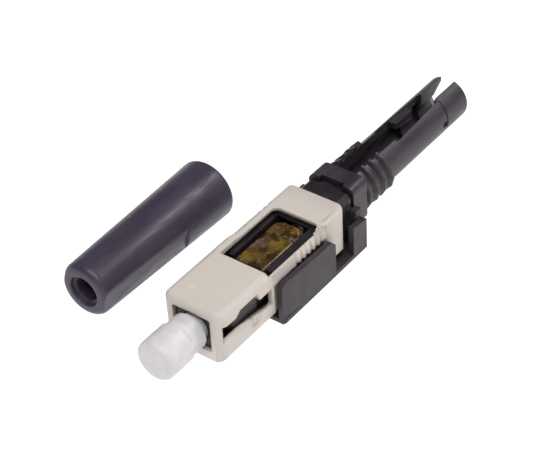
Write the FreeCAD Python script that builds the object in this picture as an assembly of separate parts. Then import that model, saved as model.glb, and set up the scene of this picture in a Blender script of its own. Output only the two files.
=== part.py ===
import FreeCAD, Part
import math
import os

V = FreeCAD.Vector

# Field-installable SC fibre connector, lying on its release clip, with its boot unscrewed
# and set down beside it.  All lengths in millimetres.
# +X is the mating direction, +Z is up, and the optical axis is parallel to X at y = 0.
# The origin is the middle of the release clip's flat underside.
# Along the connector, places are given as "behind": the distance behind the grip's front face.

# ---------------------------------------------------------------- optical line
FIBRE_D = 0.125
FERRULE_D = 2.5
FERRULE_BORE_PLAY = 0.008      # radial, fibre in the ferrule's hole
FERRULE_AHEAD = 1.0            # ferrule tip ahead of the grip's front face
FERRULE_TIP_CHAMFER = 0.35
FERRULE_LENGTH = 9.2
STUB_LENGTH = 16.0             # factory-fitted fibre, from the ferrule tip into the splice

# ---------------------------------------------------------------- release clip
CLIP_SETBACK = 10.95           # clip's front edge behind the grip's front face
CLIP_HALF = 5.4
CLIP_BASE_T = 0.6
CLIP_CORNER = 0.5
CLIP_ARM_T = 0.8
CLIP_ARM_LENGTH = 11.2
CLIP_ARM_FRONT_Z = 6.25
CLIP_ARM_REAR_Z = 5.85
CLIP_ARM_TOP_ROUND = 0.7
CLIP_ARM_BEND = 4.1            # behind the clip's front edge, where the arm's face turns in
CLIP_ARM_TURN_IN = 0.12
CLIP_RAIL_H = 0.7              # rails that carry the grip
CLIP_RAIL_HALF = 3.0
CLIP_RAIL_W = 0.9
CLIP_RAIL_SETBACK = 1.0        # behind the clip's front edge
CLIP_CRADLE_LENGTH = 2.95
CLIP_CRADLE_GAP = 0.2          # behind the grip's rear end
CLIP_CRADLE_FRONT_Z = 5.0
CLIP_CRADLE_REAR_Z = 4.65
CLIP_SADDLE_T = 1.2            # cross wall at the clip's rear edge
CLIP_SADDLE_Z = 1.55
CLIP_HORN_Z = 6.1              # inner rear corners that stand beside the rear body
CLIP_HORN_T = 0.9
CLIP_SIDE_PLAY = 0.15          # beside the clamp's collar
SEAT_GAP = 0.05                # flat faces of different moving bodies

# ---------------------------------------------------------------- splice wedge
WEDGE_PLATE_T = 0.6
WEDGE_PLATE_HALF = 1.5
WEDGE_PLATE_FRONT = 13.0
WEDGE_PLATE_LENGTH = 7.2
WEDGE_BLADE_LENGTH = 2.65
WEDGE_BLADE_INSET = 0.35
WEDGE_BLADE_ROOT = 0.5
WEDGE_BLADE_TIP = 0.09
WEDGE_TIP_BELOW_AXIS = 0.95
WEDGE_TAPER_H = 1.0
WEDGE_BLADE_ASIDE = 0.035      # from the middle of the closed seam, as the lids stand open

# ---------------------------------------------------------------- grip (outer housing)
GRIP_LENGTH = 25.9
GRIP_FRONT_HALF = 4.5
GRIP_BELOW = 3.75              # underside below the optical axis
GRIP_FRONT_ABOVE = 3.65
GRIP_REAR_HALF = 4.35
GRIP_REAR_ABOVE = 3.4
GRIP_STEP_START = 12.6
GRIP_STEP_END = 14.0
GRIP_FRONT_ROUND = 0.95        # long edges of the front part
GRIP_REAR_ROUND = 0.7
GRIP_PLAN_ROUND = 1.0          # upright corners at both ends
GRIP_FACE_T = 0.7              # front wall round the opening
GRIP_TRAVEL = 1.5              # pulled back to let the adapter's latches open
SIDE_GATE_FRONT = 0.62         # latch openings in both sides
SIDE_GATE_REAR = 10.0
SIDE_GATE_LOW = -0.66          # from the optical axis
SIDE_GATE_MID = 1.6
SIDE_GATE_HIGH = 2.3
SIDE_GATE_REAR_HIGH = 1.08
SIDE_GATE_STEP = (2.9, 3.8, 7.1, 7.6)
SIDE_GATE_LOW_REAR = -1.35
SIDE_GATE_BEVEL = 0.55
SIDE_GATE_NOSE_RISE = 0.11      # top of the opening rises this much at its front
WINDOW_FRONT = 9.6
WINDOW_REAR = 21.3
WINDOW_NEAR = 4.0
WINDOW_FAR = -3.65
WINDOW_ROUND = 0.9
SCOOP_FRONT = 10.4
SCOOP_REAR = 21.8
SCOOP_FRONT_RUN = 0.9
SCOOP_REAR_RUN = 0.3
SCOOP_BULGE = 0.12             # how far the scoop's arc stands out of its deepest face
SCOOP_HALF = 3.95
SCOOP_TOP_ABOVE = 3.0
SCOOP_FLAT_ABOVE = 1.2
GROOVE_COUNT = 6
GROOVE_FIRST = 16.05
GROOVE_PITCH = 1.05
GROOVE_R = 0.3
GROOVE_FIRST_ABOVE = 1.7
GROOVE_RISE = 0.26

# ---------------------------------------------------------------- plug frame
FRAME_FRONT = 0.5
FRAME_NOSE_HALF = 2.72
FRAME_NOSE_ABOVE = 2.42
FRAME_NOSE_ROUND = 0.35
FRAME_PLAY = 0.1               # frame to grip, all round
GRIP_CAVITY_PLAY = 0.2         # round the shoulders and the moving ends
GRIP_CAVITY_RISE = 0.3         # over and under the frame
FRAME_SHOULDER_FRONT = 2.9
FRAME_SHOULDER_REAR = 8.0
FRAME_SHOULDER_HALF = 3.55
FRAME_SHOULDER_CHAMFER = 0.5
FRAME_TAIL_HALF = 3.2
FRAME_REAR = 10.4
FRAME_BORE_D = 4.1
FRAME_STOP_FRONT = 6.6
FRAME_STOP_T = 0.8
FRAME_POCKET_HALF = 2.75
FRAME_POCKET_ABOVE = 1.95

# ---------------------------------------------------------------- ferrule holder
HOLDER_BARREL_D = 3.2
HOLDER_FRONT = 5.7
HOLDER_FLANGE_D = 3.7
HOLDER_FLANGE_T = 1.0
HOLDER_NECK_D = 2.4
HOLDER_PLAY = 0.06             # radial, barrel in the frame's stop wall
FIBRE_LEAD_D = 0.5             # hole for the fibre through holder and splice head
FERRULE_FLOAT = 0.8            # ferrule and splice move back against the spring

# ---------------------------------------------------------------- mechanical splice
SPLICE_FRONT = 11.2
SPLICE_SOCKET_T = 1.1
SPLICE_REAR = 20.2
SPLICE_BASE_HALF = 1.9
SPLICE_BASE_ABOVE = 1.45
SPLICE_BASE_BELOW = 1.5
SEAM_OFFSET = 0.075            # base's seam face beside the optical axis
SEAM_GAP = 0.035               # between base and lids when closed
SEAM_ENTRY_H = 0.7             # chamfered entry for the wedge
SEAM_ENTRY_W = 0.25
GROOVE_DEPTH = 0.19            # V groove that lines the fibres up
LID_OUTER = 1.65
LID_ABOVE = 1.3
LID_END_GAP = 0.12
LID_SPLIT = 16.1               # where the front and rear lids meet
LID_OPEN_DEG = 3.0
SLEEVE_FRONT = 11.5
SLEEVE_REAR = 20.4
SLEEVE_T = 0.35
SLEEVE_PLAY = 0.05
SLEEVE_BELOW = 1.95
SLEEVE_MOUTH_HALF = 0.6
SLEEVE_PLAN_ROUND = 1.5
SLEEVE_HOLLOW_ROUND = 0.25

# ---------------------------------------------------------------- rear body
BODY_FRONT = 10.4
BODY_SPIGOT_LENGTH = 0.9
BODY_SPIGOT_PLAY = 0.04
BODY_HALF = 3.3
BODY_ABOVE = 1.95
BODY_BELOW = 2.65
BODY_FRONT_WALL = 0.5
BODY_NECK_HOLE_D = 3.4
BODY_CHAMBER_HALF = 2.45
BODY_CHAMBER_BELOW = 2.05
BODY_CHAMBER_WALL = 0.7        # between the chamber and the rear block
BODY_WINDOW_REAR = 21.35
BODY_ROOF_ABOVE = 1.5
BODY_SLOT_HALF = 0.6
BODY_SLOT_FRONT = 11.9
BODY_SLOT_REAR = 20.9
BLOCK_LAP = 1.0                # rear block starts this far inside the grip
BLOCK_LENGTH = 3.7
BLOCK_ABOVE = 2.8
BLOCK_BELOW = 2.9
BLOCK_CHAMFER = 0.6
BLOCK_NUB_D = 0.9
BLOCK_NUB_H = 0.3
BLOCK_NUB_INSET = 0.7          # ahead of the block's rear face
BLOCK_NUB_ABOVE = 0.9
BLOCK_NUB_ROOT = 0.1           # sunk into the block's side
CABLE_BORE_D = 3.4
CABLE_BORE_START = 1.3         # behind the block's front face
NECK_D = 4.4
NECK_LENGTH = 2.9
NECK_RING_D = 4.9
NECK_RING_T = 0.6
NECK_PLAY = 0.05

# ---------------------------------------------------------------- fibre guide and spring
GUIDE_GAP = 1.3                # tube's front end behind the splice sleeve
GUIDE_D = 1.3
GUIDE_BORE_D = 0.45
GUIDE_FLANGE_D = 2.8
GUIDE_FLANGE_T = 0.6
GUIDE_FUNNEL_D = 1.6
GUIDE_LEAD_D = 0.9             # hole through the sleeve's end wall
SPRING_MEAN_D = 2.4
SPRING_WIRE_D = 0.3
SPRING_PITCH = 0.85
SPRING_CHORDS = 14             # straight pieces in one turn
SPRING_WIRE_SIDES = 5
SPRING_END_GAP = 0.05

# ---------------------------------------------------------------- cable clamp
CLAMP_GAP = 0.35               # between the rear block and the collar
COLLAR_LENGTH = 3.05
COLLAR_HALF = 3.5
COLLAR_ABOVE = 3.4
COLLAR_ROUND = 1.1
COLLAR_NOTCH_HALF = 1.8
COLLAR_NOTCH_LENGTH = 0.55
COLLAR_NOTCH_DEPTH = 1.0
THREAD_CORE_D = 6.5
THREAD_CORE_LENGTH = 6.4
THREAD_CREST_D = 7.6
THREAD_PITCH = 1.68            # from crest to crest
THREAD_STARTS = 2
THREAD_TURNS = 1.72            # of each start
THREAD_START_GAP = 0.42        # first crest behind the collar
THREAD_START_DEG = 60          # from the top towards the near side
THREAD_ROOT_W = 1.0
THREAD_CREST_W = 0.3
THREAD_EMBED = 0.12
THREAD_CHORDS = 15             # straight pieces in one turn
JAW_LENGTH = 18.6
JAW_D = 6.4
JAW_BORE_D = 4.4
JAW_BORE_START = 1.0           # behind the jaws' front end
JAW_END_LENGTH = 5.1           # thick end that closes round the cable
JAW_MOUTH_LENGTH = 1.9         # funnel in the end
JAW_MOUTH_D = 5.2
GRIP_BORE_D = 3.0              # across the ribs and the thick end
RIB_PLACE = 9.0                # rib behind the jaws' front end
RIB_LENGTH = 2.9
TOOTH_LENGTH = 2.4             # tooth ahead of the rib, on the far side
TOOTH_ROOT = -1.95             # sunk into the far jaw's wall
TOOTH_REACH = -0.6
TOOTH_LOW = 1.5
TOOTH_TOP = 2.4
SLOT_FRONT_HALF = 1.5
SLOT_STEP_START = 3.0          # behind the jaws' front end
SLOT_STEP_LENGTH = 0.2
SLOT_MID_HALF = 1.9
SLOT_MID_REAR_HALF = 1.5
SLOT_REAR_HALF = 1.05
UNDER_SLOT_LENGTH = 12.0
UNDER_SLOT_HALF = 0.5
JAW_LINE_W = 0.3
JAW_LINE_DEPTH = 0.1
JAW_LINE_BELOW = 0.8           # the line ends this far below the axis
DIMPLE_SETBACK = 0.5           # small square dimple ahead of the line
DIMPLE_SIZE = 0.9
DIMPLE_BELOW = 0.1
DIMPLE_DEPTH = 0.25

# ---------------------------------------------------------------- boot
BOOT_LENGTH = 25.1
BOOT_TIP_AHEAD = 1.6           # boot's small end ahead of the grip's front face
BOOT_SMALL_D = 7.45
BOOT_LARGE_D = 8.6
BOOT_ASIDE = 15.95             # boot's axis from the connector's
BOOT_SMALL_ROUND = 0.9
BOOT_ROUND_BREAK = 0.27        # where the small end's round changes slope
BOOT_LARGE_ROUND = 0.6
BOOT_HOLE_D = 3.4
BOOT_RECESS_D = 4.3
BOOT_RECESS_DEPTH = 0.9
BOOT_BORE_END = 2.9             # from the small end to the end of the wide bore
BOOT_BORE_D = 6.35
BOOT_THREAD_LENGTH = 7.2
BOOT_THREAD_PLAY = 0.1         # radial, over the clamp's thread
BOOT_THREAD_TURNS = 1.0        # of each start
BOOT_FLAT_LENGTH = 14.5
BOOT_FLAT_DEPTH = 0.22

# ---------------------------------------------------------------- dust cap
CAP_FRONT = 7.2                # ahead of the grip's front face
CAP_BARREL_D = 5.5
CAP_RING_D = 5.0
CAP_RING_REAR = 0.4
CAP_RING_FRONT = 1.75
CAP_EDGE = 0.55
CAP_SPIGOT_PLAY = 0.15         # radial, inside the plug frame
CAP_SPIGOT_LENGTH = 5.1
CAP_FERRULE_PLAY = 0.05        # radial, over the ferrule
CAP_TIP_GAP = 0.4
CAP_EDGE_BREAK = 0.17          # where the rounded rim changes slope

# ---------------------------------------------------------------- places worked out
CLIP_REAR = GRIP_LENGTH + CLIP_CRADLE_GAP + CLIP_CRADLE_LENGTH
FACE_X = (CLIP_SETBACK + CLIP_REAR) / 2
AXIS_Z = CLIP_BASE_T + CLIP_RAIL_H + SEAT_GAP + GRIP_BELOW
BLOCK_FRONT = GRIP_LENGTH - BLOCK_LAP
BLOCK_REAR = BLOCK_FRONT + BLOCK_LENGTH
CHAMBER_REAR = BLOCK_FRONT - BODY_CHAMBER_WALL
CABLE_BORE_FRONT = BLOCK_FRONT + CABLE_BORE_START
NECK_REAR = BLOCK_REAR + NECK_LENGTH
CLAMP_FRONT = BLOCK_REAR + CLAMP_GAP
COLLAR_REAR = CLAMP_FRONT + COLLAR_LENGTH
JAW_FRONT = COLLAR_REAR + THREAD_CORE_LENGTH
JAW_REAR = JAW_FRONT + JAW_LENGTH
JAW_END_FRONT = JAW_REAR - JAW_END_LENGTH
CLEAR = 20.0                   # how far a cutting tool runs past what it cuts


def at(behind):
    return FACE_X - behind


# ---------------------------------------------------------------- building blocks
def block(front, rear, y0, y1, low, high):
    """Plain block between two distances behind the face; low and high are from the axis."""
    corner = V(at(rear), y0, AXIS_Z + low)
    return Part.makeBox(rear - front, y1 - y0, high - low, corner)


def rod(diameter, front, rear, y=0.0, above=0.0):
    base = V(at(rear), y, AXIS_Z + above)
    return Part.makeCylinder(diameter / 2, rear - front, base, V(1, 0, 0))


def rounded_wire(a0, a1, b0, b1, radius, place):
    """Rectangle with round corners, drawn in (a, b) and put in space by place(a, b)."""
    corners = ((a1, b1, 1, 1), (a0, b1, -1, 1), (a0, b0, -1, -1), (a1, b0, 1, -1))
    arcs = []
    for a, b, sa, sb in corners:
        ca = a - sa * radius
        cb = b - sb * radius
        k = radius * math.sqrt(0.5)
        ends = [(ca + sa * radius, cb), (ca, cb + sb * radius)]
        if sa != sb:
            ends.reverse()
        middle = place(ca + sa * k, cb + sb * k)
        arcs.append(Part.Arc(place(*ends[0]), middle, place(*ends[1])))
    edges = []
    for i, arc in enumerate(arcs):
        following = arcs[(i + 1) % len(arcs)]
        edges.append(arc.toShape())
        edges.append(Part.LineSegment(arc.EndPoint, following.StartPoint).toShape())
    return Part.Wire(edges)


def section_wire(behind, half, low, high, radius):
    return rounded_wire(-half, half, low, high, radius, lambda y, z: V(at(behind), y, AXIS_Z + z))


def bar(front, rear, half, low, high, radius):
    """Bar along the connector with rounded long edges."""
    face = Part.Face(section_wire(rear, half, low, high, radius))
    return face.extrude(V(rear - front, 0, 0))


def plan(front, rear, half, low, high, radius):
    """Upright prism with rounded upright corners."""
    wire = rounded_wire(at(rear), at(front), -half, half, radius, lambda x, y: V(x, y, AXIS_Z + low))
    return Part.Face(wire).extrude(V(0, 0, high - low))


def prism(points, direction):
    return Part.Face(Part.makePolygon(points + points[:1])).extrude(direction)


def both_sides(shape):
    return [shape, shape.mirror(V(0, 0, 0), V(0, 1, 0))]


def turned(points, y, z):
    """Solid of revolution about a line along X; points are (x, radius)."""
    outline = [V(x, y, z + r) for x, r in points]
    face = Part.Face(Part.makePolygon(outline + outline[:1]))
    return face.revolve(V(0, y, z), V(1, 0, 0), 360)


def winding(profile, pitch, turns, chords, start_x, y, z):
    """Solid wound about a line along X, from start_x towards -X.

    The profile is a ring of (radius, place along the line) corners.  Each turn is a number of chords,
    and between two chords every side of the profile is a pair of flat triangles.
    """
    rings = []
    for i in range(round(turns * chords) + 1):
        turn = i / chords
        angle = 2 * math.pi * turn
        rings.append([V(start_x - along - pitch * turn, y + radius * math.sin(angle),
                        z + radius * math.cos(angle)) for radius, along in profile])
    corners = [rings[0], rings[-1]]
    for ring, following in zip(rings, rings[1:]):
        for i in range(len(profile)):
            corners.append([ring[i - 1], ring[i], following[i]])
            corners.append([ring[i - 1], following[i], following[i - 1]])
    shell = Part.makeShell([Part.Face(Part.makePolygon(ring + ring[:1])) for ring in corners])
    shell.sewShape()
    solid = Part.makeSolid(shell)
    if solid.Volume < 0:
        solid.reverse()
    return solid


def ridges(root_r, crest_r, start_x, start_deg, turns, y, z):
    """Helical ridges of the boot's thread, one for each start."""
    half_root = THREAD_ROOT_W / 2
    half_crest = THREAD_CREST_W / 2
    profile = [(root_r, -half_root), (crest_r, -half_crest), (crest_r, half_crest), (root_r, half_root)]
    wound = []
    for i in range(THREAD_STARTS):
        ridge = winding(profile, THREAD_STARTS * THREAD_PITCH, turns, THREAD_CHORDS, start_x, y, z)
        ridge.rotate(V(0, y, z), V(1, 0, 0), -start_deg - 360 * i / THREAD_STARTS)
        wound.append(ridge)
    return wound


# ---------------------------------------------------------------- grip
def grip_blank():
    low = -GRIP_BELOW
    front = bar(0, GRIP_STEP_START, GRIP_FRONT_HALF, low, GRIP_FRONT_ABOVE, GRIP_FRONT_ROUND)
    rear = bar(GRIP_STEP_END, GRIP_LENGTH, GRIP_REAR_HALF, low, GRIP_REAR_ABOVE, GRIP_REAR_ROUND)
    wide = section_wire(GRIP_STEP_START, GRIP_FRONT_HALF, low, GRIP_FRONT_ABOVE, GRIP_FRONT_ROUND)
    narrow = section_wire(GRIP_STEP_END, GRIP_REAR_HALF, low, GRIP_REAR_ABOVE, GRIP_REAR_ROUND)
    step = Part.makeLoft([wide, narrow], True, True)
    outline_front = plan(0, GRIP_LENGTH, GRIP_FRONT_HALF, low, GRIP_FRONT_ABOVE, GRIP_PLAN_ROUND)
    trim = plan(0, GRIP_LENGTH, GRIP_REAR_HALF, low, GRIP_FRONT_ABOVE, GRIP_PLAN_ROUND)
    nose = block(0, GRIP_LENGTH / 2, -GRIP_FRONT_HALF, GRIP_FRONT_HALF, low, GRIP_FRONT_ABOVE)
    return front.fuse([step, rear]).common(outline_front).common(trim.fuse(nose))


def grip_cavities():
    frame_half = FRAME_SHOULDER_HALF + GRIP_CAVITY_PLAY
    frame_above = FRAME_NOSE_ABOVE + GRIP_CAVITY_RISE
    body_half = BODY_HALF + FRAME_PLAY
    mouth = bar(-1, FRAME_SHOULDER_FRONT, FRAME_NOSE_HALF + FRAME_PLAY,
                -FRAME_NOSE_ABOVE - FRAME_PLAY, FRAME_NOSE_ABOVE + FRAME_PLAY, FRAME_NOSE_ROUND)
    front = block(GRIP_FACE_T, FRAME_REAR + GRIP_CAVITY_PLAY, -frame_half, frame_half,
                  -frame_above, frame_above)
    middle = block(FRAME_REAR, GRIP_LENGTH + 1, -body_half, body_half,
                   -BODY_BELOW - FRAME_PLAY, BODY_ABOVE + FRAME_PLAY)
    rear = block(BLOCK_FRONT - GRIP_TRAVEL - GRIP_CAVITY_PLAY, GRIP_LENGTH + 1, -body_half, body_half,
                 -BLOCK_BELOW - FRAME_PLAY, BLOCK_ABOVE + FRAME_PLAY)
    return [mouth, front, middle, rear]


def side_gate():
    """Opening in one side wall that the adapter's latch reaches through."""
    rise, ledge, fall, low_end = SIDE_GATE_STEP
    outline = [
        (SIDE_GATE_FRONT, SIDE_GATE_LOW),
        (SIDE_GATE_FRONT, SIDE_GATE_MID + SIDE_GATE_NOSE_RISE),
        (rise, SIDE_GATE_MID),
        (ledge, SIDE_GATE_HIGH),
        (fall, SIDE_GATE_HIGH),
        (low_end, SIDE_GATE_REAR_HIGH),
        (SIDE_GATE_REAR, SIDE_GATE_REAR_HIGH),
        (SIDE_GATE_REAR, SIDE_GATE_LOW_REAR),
        (ledge, SIDE_GATE_LOW),
    ]
    inner = FRAME_NOSE_HALF + FRAME_PLAY
    points = [V(at(behind), inner, AXIS_Z + z) for behind, z in outline]
    gate = prism(points, V(0, GRIP_FRONT_HALF - inner + 1, 0))
    slope = [
        V(at(SIDE_GATE_FRONT), GRIP_FRONT_HALF - SIDE_GATE_BEVEL, AXIS_Z + SIDE_GATE_LOW),
        V(at(SIDE_GATE_FRONT), GRIP_FRONT_HALF, AXIS_Z + SIDE_GATE_LOW - SIDE_GATE_BEVEL),
        V(at(SIDE_GATE_FRONT), GRIP_FRONT_HALF + 1, AXIS_Z + SIDE_GATE_LOW),
    ]
    bevel = prism(slope, V(SIDE_GATE_FRONT - SIDE_GATE_REAR, 0, 0))
    bevel = bevel.common(block(GRIP_FACE_T, SIDE_GATE_REAR, 0, CLEAR, -CLEAR, CLEAR))
    return gate.fuse(bevel)


def scoop():
    """Finger hollow in one side of the grip, deepest near the underside."""
    outer = GRIP_FRONT_HALF + 1
    outline = [
        V(at(SCOOP_FRONT), outer, 0),
        V(at(SCOOP_FRONT), GRIP_FRONT_HALF, 0),
        V(at(SCOOP_FRONT + SCOOP_FRONT_RUN), SCOOP_HALF, 0),
        V(at(SCOOP_REAR - SCOOP_REAR_RUN), SCOOP_HALF, 0),
        V(at(SCOOP_REAR), GRIP_FRONT_HALF, 0),
        V(at(SCOOP_REAR), outer, 0),
    ]
    along = prism(outline, V(0, 0, AXIS_Z + SCOOP_TOP_ABOVE))
    top = AXIS_Z + SCOOP_TOP_ABOVE
    flat = AXIS_Z + SCOOP_FLAT_ABOVE
    middle = V(0, SCOOP_HALF + SCOOP_BULGE, (top + flat) / 2)
    curve = Part.Arc(V(0, GRIP_REAR_HALF, top), middle, V(0, SCOOP_HALF, flat)).toShape()
    rest = Part.makePolygon([V(0, SCOOP_HALF, flat), V(0, SCOOP_HALF, 0), V(0, outer, 0),
                             V(0, outer, top), V(0, GRIP_REAR_HALF, top)])
    across = Part.Face(Part.Wire([curve] + rest.Edges)).extrude(V(CLEAR, 0, 0))
    across.translate(V(-CLEAR / 2, 0, 0))
    return along.common(across)


def finger_grooves():
    grooves = []
    for i in range(GROOVE_COUNT):
        behind = GROOVE_FIRST + i * GROOVE_PITCH
        top = GROOVE_FIRST_ABOVE + i * GROOVE_RISE
        base = V(at(behind), SCOOP_HALF + GROOVE_R / 2, 0)
        grooves.append(Part.makeCylinder(GROOVE_R, AXIS_Z + top, base))
    return grooves


def outer_housing():
    window = rounded_wire(at(WINDOW_REAR), at(WINDOW_FRONT - WINDOW_ROUND), WINDOW_FAR, WINDOW_NEAR,
                          WINDOW_ROUND, lambda x, y: V(x, y, AXIS_Z + FRAME_NOSE_ABOVE / 2))
    window = Part.Face(window).extrude(V(0, 0, CLEAR))
    window = window.common(block(WINDOW_FRONT, GRIP_LENGTH, -CLEAR, CLEAR, -CLEAR, CLEAR))
    plate_half = WEDGE_BLADE_ROOT / 2 + GRIP_CAVITY_PLAY
    slot_front = WEDGE_PLATE_FRONT - GRIP_TRAVEL - FRAME_PLAY
    slot_rear = WEDGE_PLATE_FRONT + WEDGE_PLATE_LENGTH + FRAME_PLAY
    slot = block(slot_front, slot_rear, -plate_half, plate_half, -CLEAR, -BODY_CHAMBER_BELOW)
    cuts = grip_cavities() + [window, slot] + both_sides(side_gate())
    cuts += both_sides(scoop())
    for groove in finger_grooves():
        cuts += both_sides(groove)
    return grip_blank().cut(cuts)


# ---------------------------------------------------------------- plug frame
def plug_frame():
    high = FRAME_NOSE_ABOVE
    nose = bar(FRAME_FRONT, FRAME_SHOULDER_REAR, FRAME_NOSE_HALF, -high, high, FRAME_NOSE_ROUND)
    corner = FRAME_SHOULDER_CHAMFER
    outline = [
        V(at(FRAME_SHOULDER_FRONT), FRAME_SHOULDER_HALF - corner, 0),
        V(at(FRAME_SHOULDER_FRONT + corner), FRAME_SHOULDER_HALF, 0),
        V(at(FRAME_SHOULDER_REAR), FRAME_SHOULDER_HALF, 0),
        V(at(FRAME_SHOULDER_REAR + corner), FRAME_TAIL_HALF, 0),
        V(at(FRAME_REAR), FRAME_TAIL_HALF, 0),
    ]
    mirrored = [V(p.x, -p.y, 0) for p in reversed(outline)]
    wings = prism(outline + mirrored, V(0, 0, 2 * high))
    wings.translate(V(0, 0, AXIS_Z - high))
    stop_rear = FRAME_STOP_FRONT + FRAME_STOP_T
    bore = rod(FRAME_BORE_D, FRAME_FRONT - 1, FRAME_STOP_FRONT)
    hole = rod(HOLDER_BARREL_D + 2 * HOLDER_PLAY, FRAME_FRONT, FRAME_REAR)
    pocket = block(stop_rear, FRAME_REAR + 1, -FRAME_POCKET_HALF, FRAME_POCKET_HALF,
                   -FRAME_POCKET_ABOVE, FRAME_POCKET_ABOVE)
    return nose.fuse(wings).cut([bore, hole, pocket])


# ---------------------------------------------------------------- ferrule line
def ferrule():
    r = FERRULE_D / 2
    tip = at(-FERRULE_AHEAD)
    rear = tip - FERRULE_LENGTH
    slope = FERRULE_TIP_CHAMFER
    body = turned([(rear, 0), (rear, r), (tip - slope, r), (tip, r - slope / 2), (tip, 0)], 0, AXIS_Z)
    return body.cut(rod(FIBRE_D + 2 * FERRULE_BORE_PLAY, -FERRULE_AHEAD - 1, FERRULE_LENGTH))


def ferrule_holder():
    flange_front = FRAME_STOP_FRONT + FRAME_STOP_T + SEAT_GAP
    flange_rear = flange_front + HOLDER_FLANGE_T
    socket_rear = SPLICE_FRONT + SPLICE_SOCKET_T - FRAME_PLAY
    body = rod(HOLDER_BARREL_D, HOLDER_FRONT, flange_rear)
    body = body.fuse([rod(HOLDER_FLANGE_D, flange_front, flange_rear),
                      rod(HOLDER_NECK_D, flange_front, socket_rear)])
    seat = rod(FERRULE_D, HOLDER_FRONT - 1, FERRULE_LENGTH - FERRULE_AHEAD)
    lead = rod(FIBRE_LEAD_D, HOLDER_FRONT, socket_rear + 1)
    return body.cut([seat, lead])


def fibre_stub():
    return rod(FIBRE_D, -FERRULE_AHEAD, STUB_LENGTH - FERRULE_AHEAD)


# ---------------------------------------------------------------- splice
def splice_base():
    socket_rear = SPLICE_FRONT + SPLICE_SOCKET_T
    head = block(SPLICE_FRONT, socket_rear, -SPLICE_BASE_HALF, LID_OUTER,
                 -SPLICE_BASE_BELOW, SPLICE_BASE_ABOVE)
    half = block(SPLICE_FRONT, SPLICE_REAR, -SPLICE_BASE_HALF, SEAM_OFFSET,
                 -SPLICE_BASE_BELOW, SPLICE_BASE_ABOVE)
    neck_hole = rod(HOLDER_NECK_D, SPLICE_FRONT - 1, socket_rear - FRAME_PLAY)
    lead = rod(FIBRE_LEAD_D, SPLICE_FRONT, socket_rear + FRAME_PLAY)
    tip = SEAM_OFFSET - GROOVE_DEPTH
    groove = prism([V(at(SPLICE_REAR + 1), tip, AXIS_Z),
                    V(at(SPLICE_REAR + 1), SEAM_OFFSET, AXIS_Z + GROOVE_DEPTH),
                    V(at(SPLICE_REAR + 1), SEAM_OFFSET, AXIS_Z - GROOVE_DEPTH)],
                   V(SPLICE_REAR + 1 - SPLICE_FRONT, 0, 0))
    floor = AXIS_Z - SPLICE_BASE_BELOW
    entry = prism([V(at(SPLICE_REAR + 1), SEAM_OFFSET, floor - 1),
                   V(at(SPLICE_REAR + 1), SEAM_OFFSET - SEAM_ENTRY_W, floor - 1),
                   V(at(SPLICE_REAR + 1), SEAM_OFFSET - SEAM_ENTRY_W, floor),
                   V(at(SPLICE_REAR + 1), SEAM_OFFSET, floor + SEAM_ENTRY_H)],
                  V(SPLICE_REAR + 1 - socket_rear, 0, 0))
    return head.fuse(half).cut([neck_hole, lead, groove, entry]).removeSplitter()


def lid(front, rear):
    """Half of the splice's lid, swung open about its top edge by the wedge."""
    inner = SEAM_OFFSET + SEAM_GAP
    body = block(front, rear, inner, LID_OUTER, -SPLICE_BASE_BELOW, LID_ABOVE)
    floor = AXIS_Z - SPLICE_BASE_BELOW
    entry = prism([V(at(rear), inner, floor),
                   V(at(rear), inner + SEAM_ENTRY_W, floor),
                   V(at(rear), inner, floor + SEAM_ENTRY_H)],
                  V(rear - front, 0, 0))
    body = body.cut(entry)
    body.rotate(V(0, inner, AXIS_Z + LID_ABOVE), V(1, 0, 0), LID_OPEN_DEG)
    return body


def splice_lid_front():
    return lid(SPLICE_FRONT + SPLICE_SOCKET_T + LID_END_GAP, LID_SPLIT - LID_END_GAP / 2)


def splice_lid_rear():
    return lid(LID_SPLIT + LID_END_GAP / 2, SPLICE_REAR - LID_END_GAP)


def splice_sleeve():
    """Spring sleeve round the base and lids, open along its underside for the wedge."""
    inner = SPLICE_BASE_HALF + SLEEVE_PLAY
    outer = inner + SLEEVE_T
    top = SPLICE_BASE_ABOVE + SLEEVE_PLAY + SLEEVE_T
    radius = SLEEVE_T
    shell = bar(SLEEVE_FRONT, SLEEVE_REAR, outer, -SLEEVE_BELOW, top, radius)
    shell = shell.common(plan(SLEEVE_FRONT - SLEEVE_PLAN_ROUND, SLEEVE_REAR, outer,
                              -SLEEVE_BELOW, top, SLEEVE_PLAN_ROUND))
    hollow = block(SLEEVE_FRONT - 1, SPLICE_REAR + SLEEVE_PLAY, -inner, inner,
                   -SLEEVE_BELOW + SLEEVE_T, top - SLEEVE_T)
    hollow = hollow.common(plan(SLEEVE_FRONT - CLEAR, SPLICE_REAR + SLEEVE_PLAY, inner,
                                -SLEEVE_BELOW, top, SLEEVE_HOLLOW_ROUND))
    mouth = block(SLEEVE_FRONT - 1, SLEEVE_REAR + 1, -SLEEVE_MOUTH_HALF, SLEEVE_MOUTH_HALF,
                  -CLEAR, -SPLICE_BASE_BELOW)
    lead = rod(GUIDE_LEAD_D, SPLICE_REAR - 1, SLEEVE_REAR + 1)
    return shell.cut([hollow, mouth, lead])


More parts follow.
